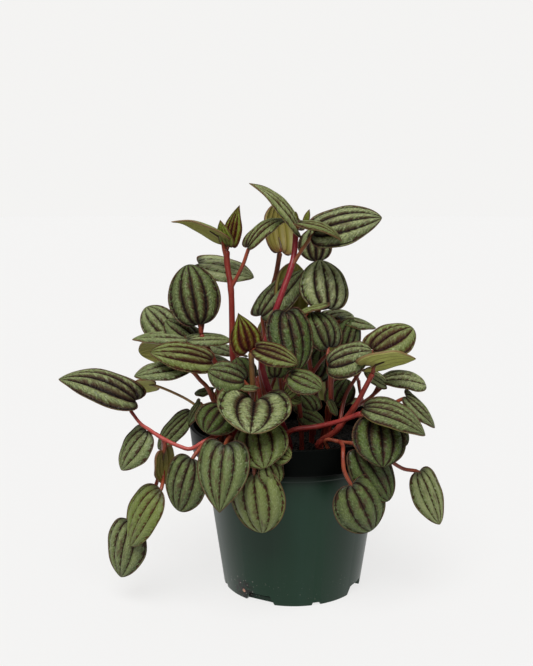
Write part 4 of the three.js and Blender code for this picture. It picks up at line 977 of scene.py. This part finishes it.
stem_paint, stem_shader = paint("stem_skin", Specular_IOR_Level=0.3)
tree = stem_paint.node_tree
place = add_node(tree, "ShaderNodeTexCoord").outputs["Object"]
blotches = cloud(place, (320, 320, 140))
pores = cloud(place, (1600, 1600, 900), detail=2.0)
skin_colour = tinted(attribute(tree, "hue", "Color"), hue("a0603c"), blotches, 0.5, 0.75, 0.22)
skin_colour = tinted(skin_colour, hue("340c0b"), blotches, 0.5, 0.25, 0.45)
skin_colour = tinted(skin_colour, hue("b8806a"), pores, 0.6, 0.75, 0.2)
wire(stem_shader, Base_Color=skin_colour, Roughness=ramp(pores, 0.3, 0.7, 0.3, 0.45),
     Normal=bumps(pores, 0.15, 0.3 * MM))

leaf_number = 0
for stem_row in STEMS:
    leaves = []
    for leaf in stem_row["leaves"]:
        base = seen((*leaf["at"], leaf["near"][0]))
        tip = seen((*leaf["tip"], leaf["near"][1]))
        leaves.append(placed_leaf(leaf, base, tip, EYE - base, leaf_number))
        leaf_number += 1
    way = stem_line(np.array(stem_row["foot"]) * MM, [seen(reading) for reading in stem_row["rise"]])
    leafy_stem(stem_row["name"], way, stem_row["thick"], stem_row["skin"], leaves)


# Stems of the back, which the picture doesn't show: the same growth, set round the far side of the pot
# at an angle from +X, with leaves shared out from one set. Their places are (outwards, sideways,
# height) in millimetres.
BACK_LEAF_TILT = 0.8
BACK_THICK = (3, 2)
BACK_SKIN = ("7a241e", "8f3a2a")
BACK_PALE = (0.3, 0.8)
BACK_BANDS = (0.8, 1.2)
BACK_STEMS = [
    dict(name="leafy_stem_back_a", angle=43, reach=1, leaves=(2, 5)),
    dict(name="leafy_stem_back_b", angle=73, reach=1, leaves=(0, 1, 3, 4)),
    dict(name="leafy_stem_back_c", angle=100, reach=1.04, leaves=(0, 1, 2, 3, 4)),
    dict(name="leafy_stem_back_d", angle=127, reach=1, leaves=(0, 1, 3, 5)),
    dict(name="leafy_stem_back_e", angle=158, reach=0.8, leaves=(1,)),
]
BACK_RISE = [(28, 0, 90), (33, 0, 103), (44, 1, 108), (54, 2, 100)]
BACK_LEAVES = [
    dict(at=(37, -5, 104), tip=(62, -10, 98), wide=22, start=0.5),
    dict(at=(42, 6, 116), tip=(68, 9, 118), wide=26, start=0.7),
    dict(at=(31, 2, 112), tip=(35, 6, 138), wide=20, start=0.4),
    dict(at=(60, -4, 98), tip=(74, -9, 70), wide=26, start=0.95),
    dict(at=(56, 10, 92), tip=(68, 15, 60), wide=24, start=1),
    dict(at=(59, 2, 86), tip=(71, 4, 54), wide=26, start=1),
]

for stem_row in BACK_STEMS:
    turn = np.radians(stem_row["angle"])
    outward = np.array([np.cos(turn), np.sin(turn), 0])
    sideways = np.array([-np.sin(turn), np.cos(turn), 0])
    spread = np.array([stem_row["reach"] * outward, sideways, [0, 0, 1]]) * MM
    viewer = outward + np.array([0, 0, BACK_LEAF_TILT])
    leaves = []
    for k in stem_row["leaves"]:
        base = np.array(BACK_LEAVES[k]["at"]) @ spread
        tip = np.array(BACK_LEAVES[k]["tip"]) @ spread
        look = (draw.uniform(*BACK_PALE), draw.uniform(*BACK_BANDS), 0)
        leaves.append({**placed_leaf(BACK_LEAVES[k], base, tip, viewer, leaf_number), "look": look})
        leaf_number += 1
    rise = np.array(BACK_RISE) @ spread
    leafy_stem(stem_row["name"], stem_line(rise[0, :2], rise), BACK_THICK, BACK_SKIN, leaves)
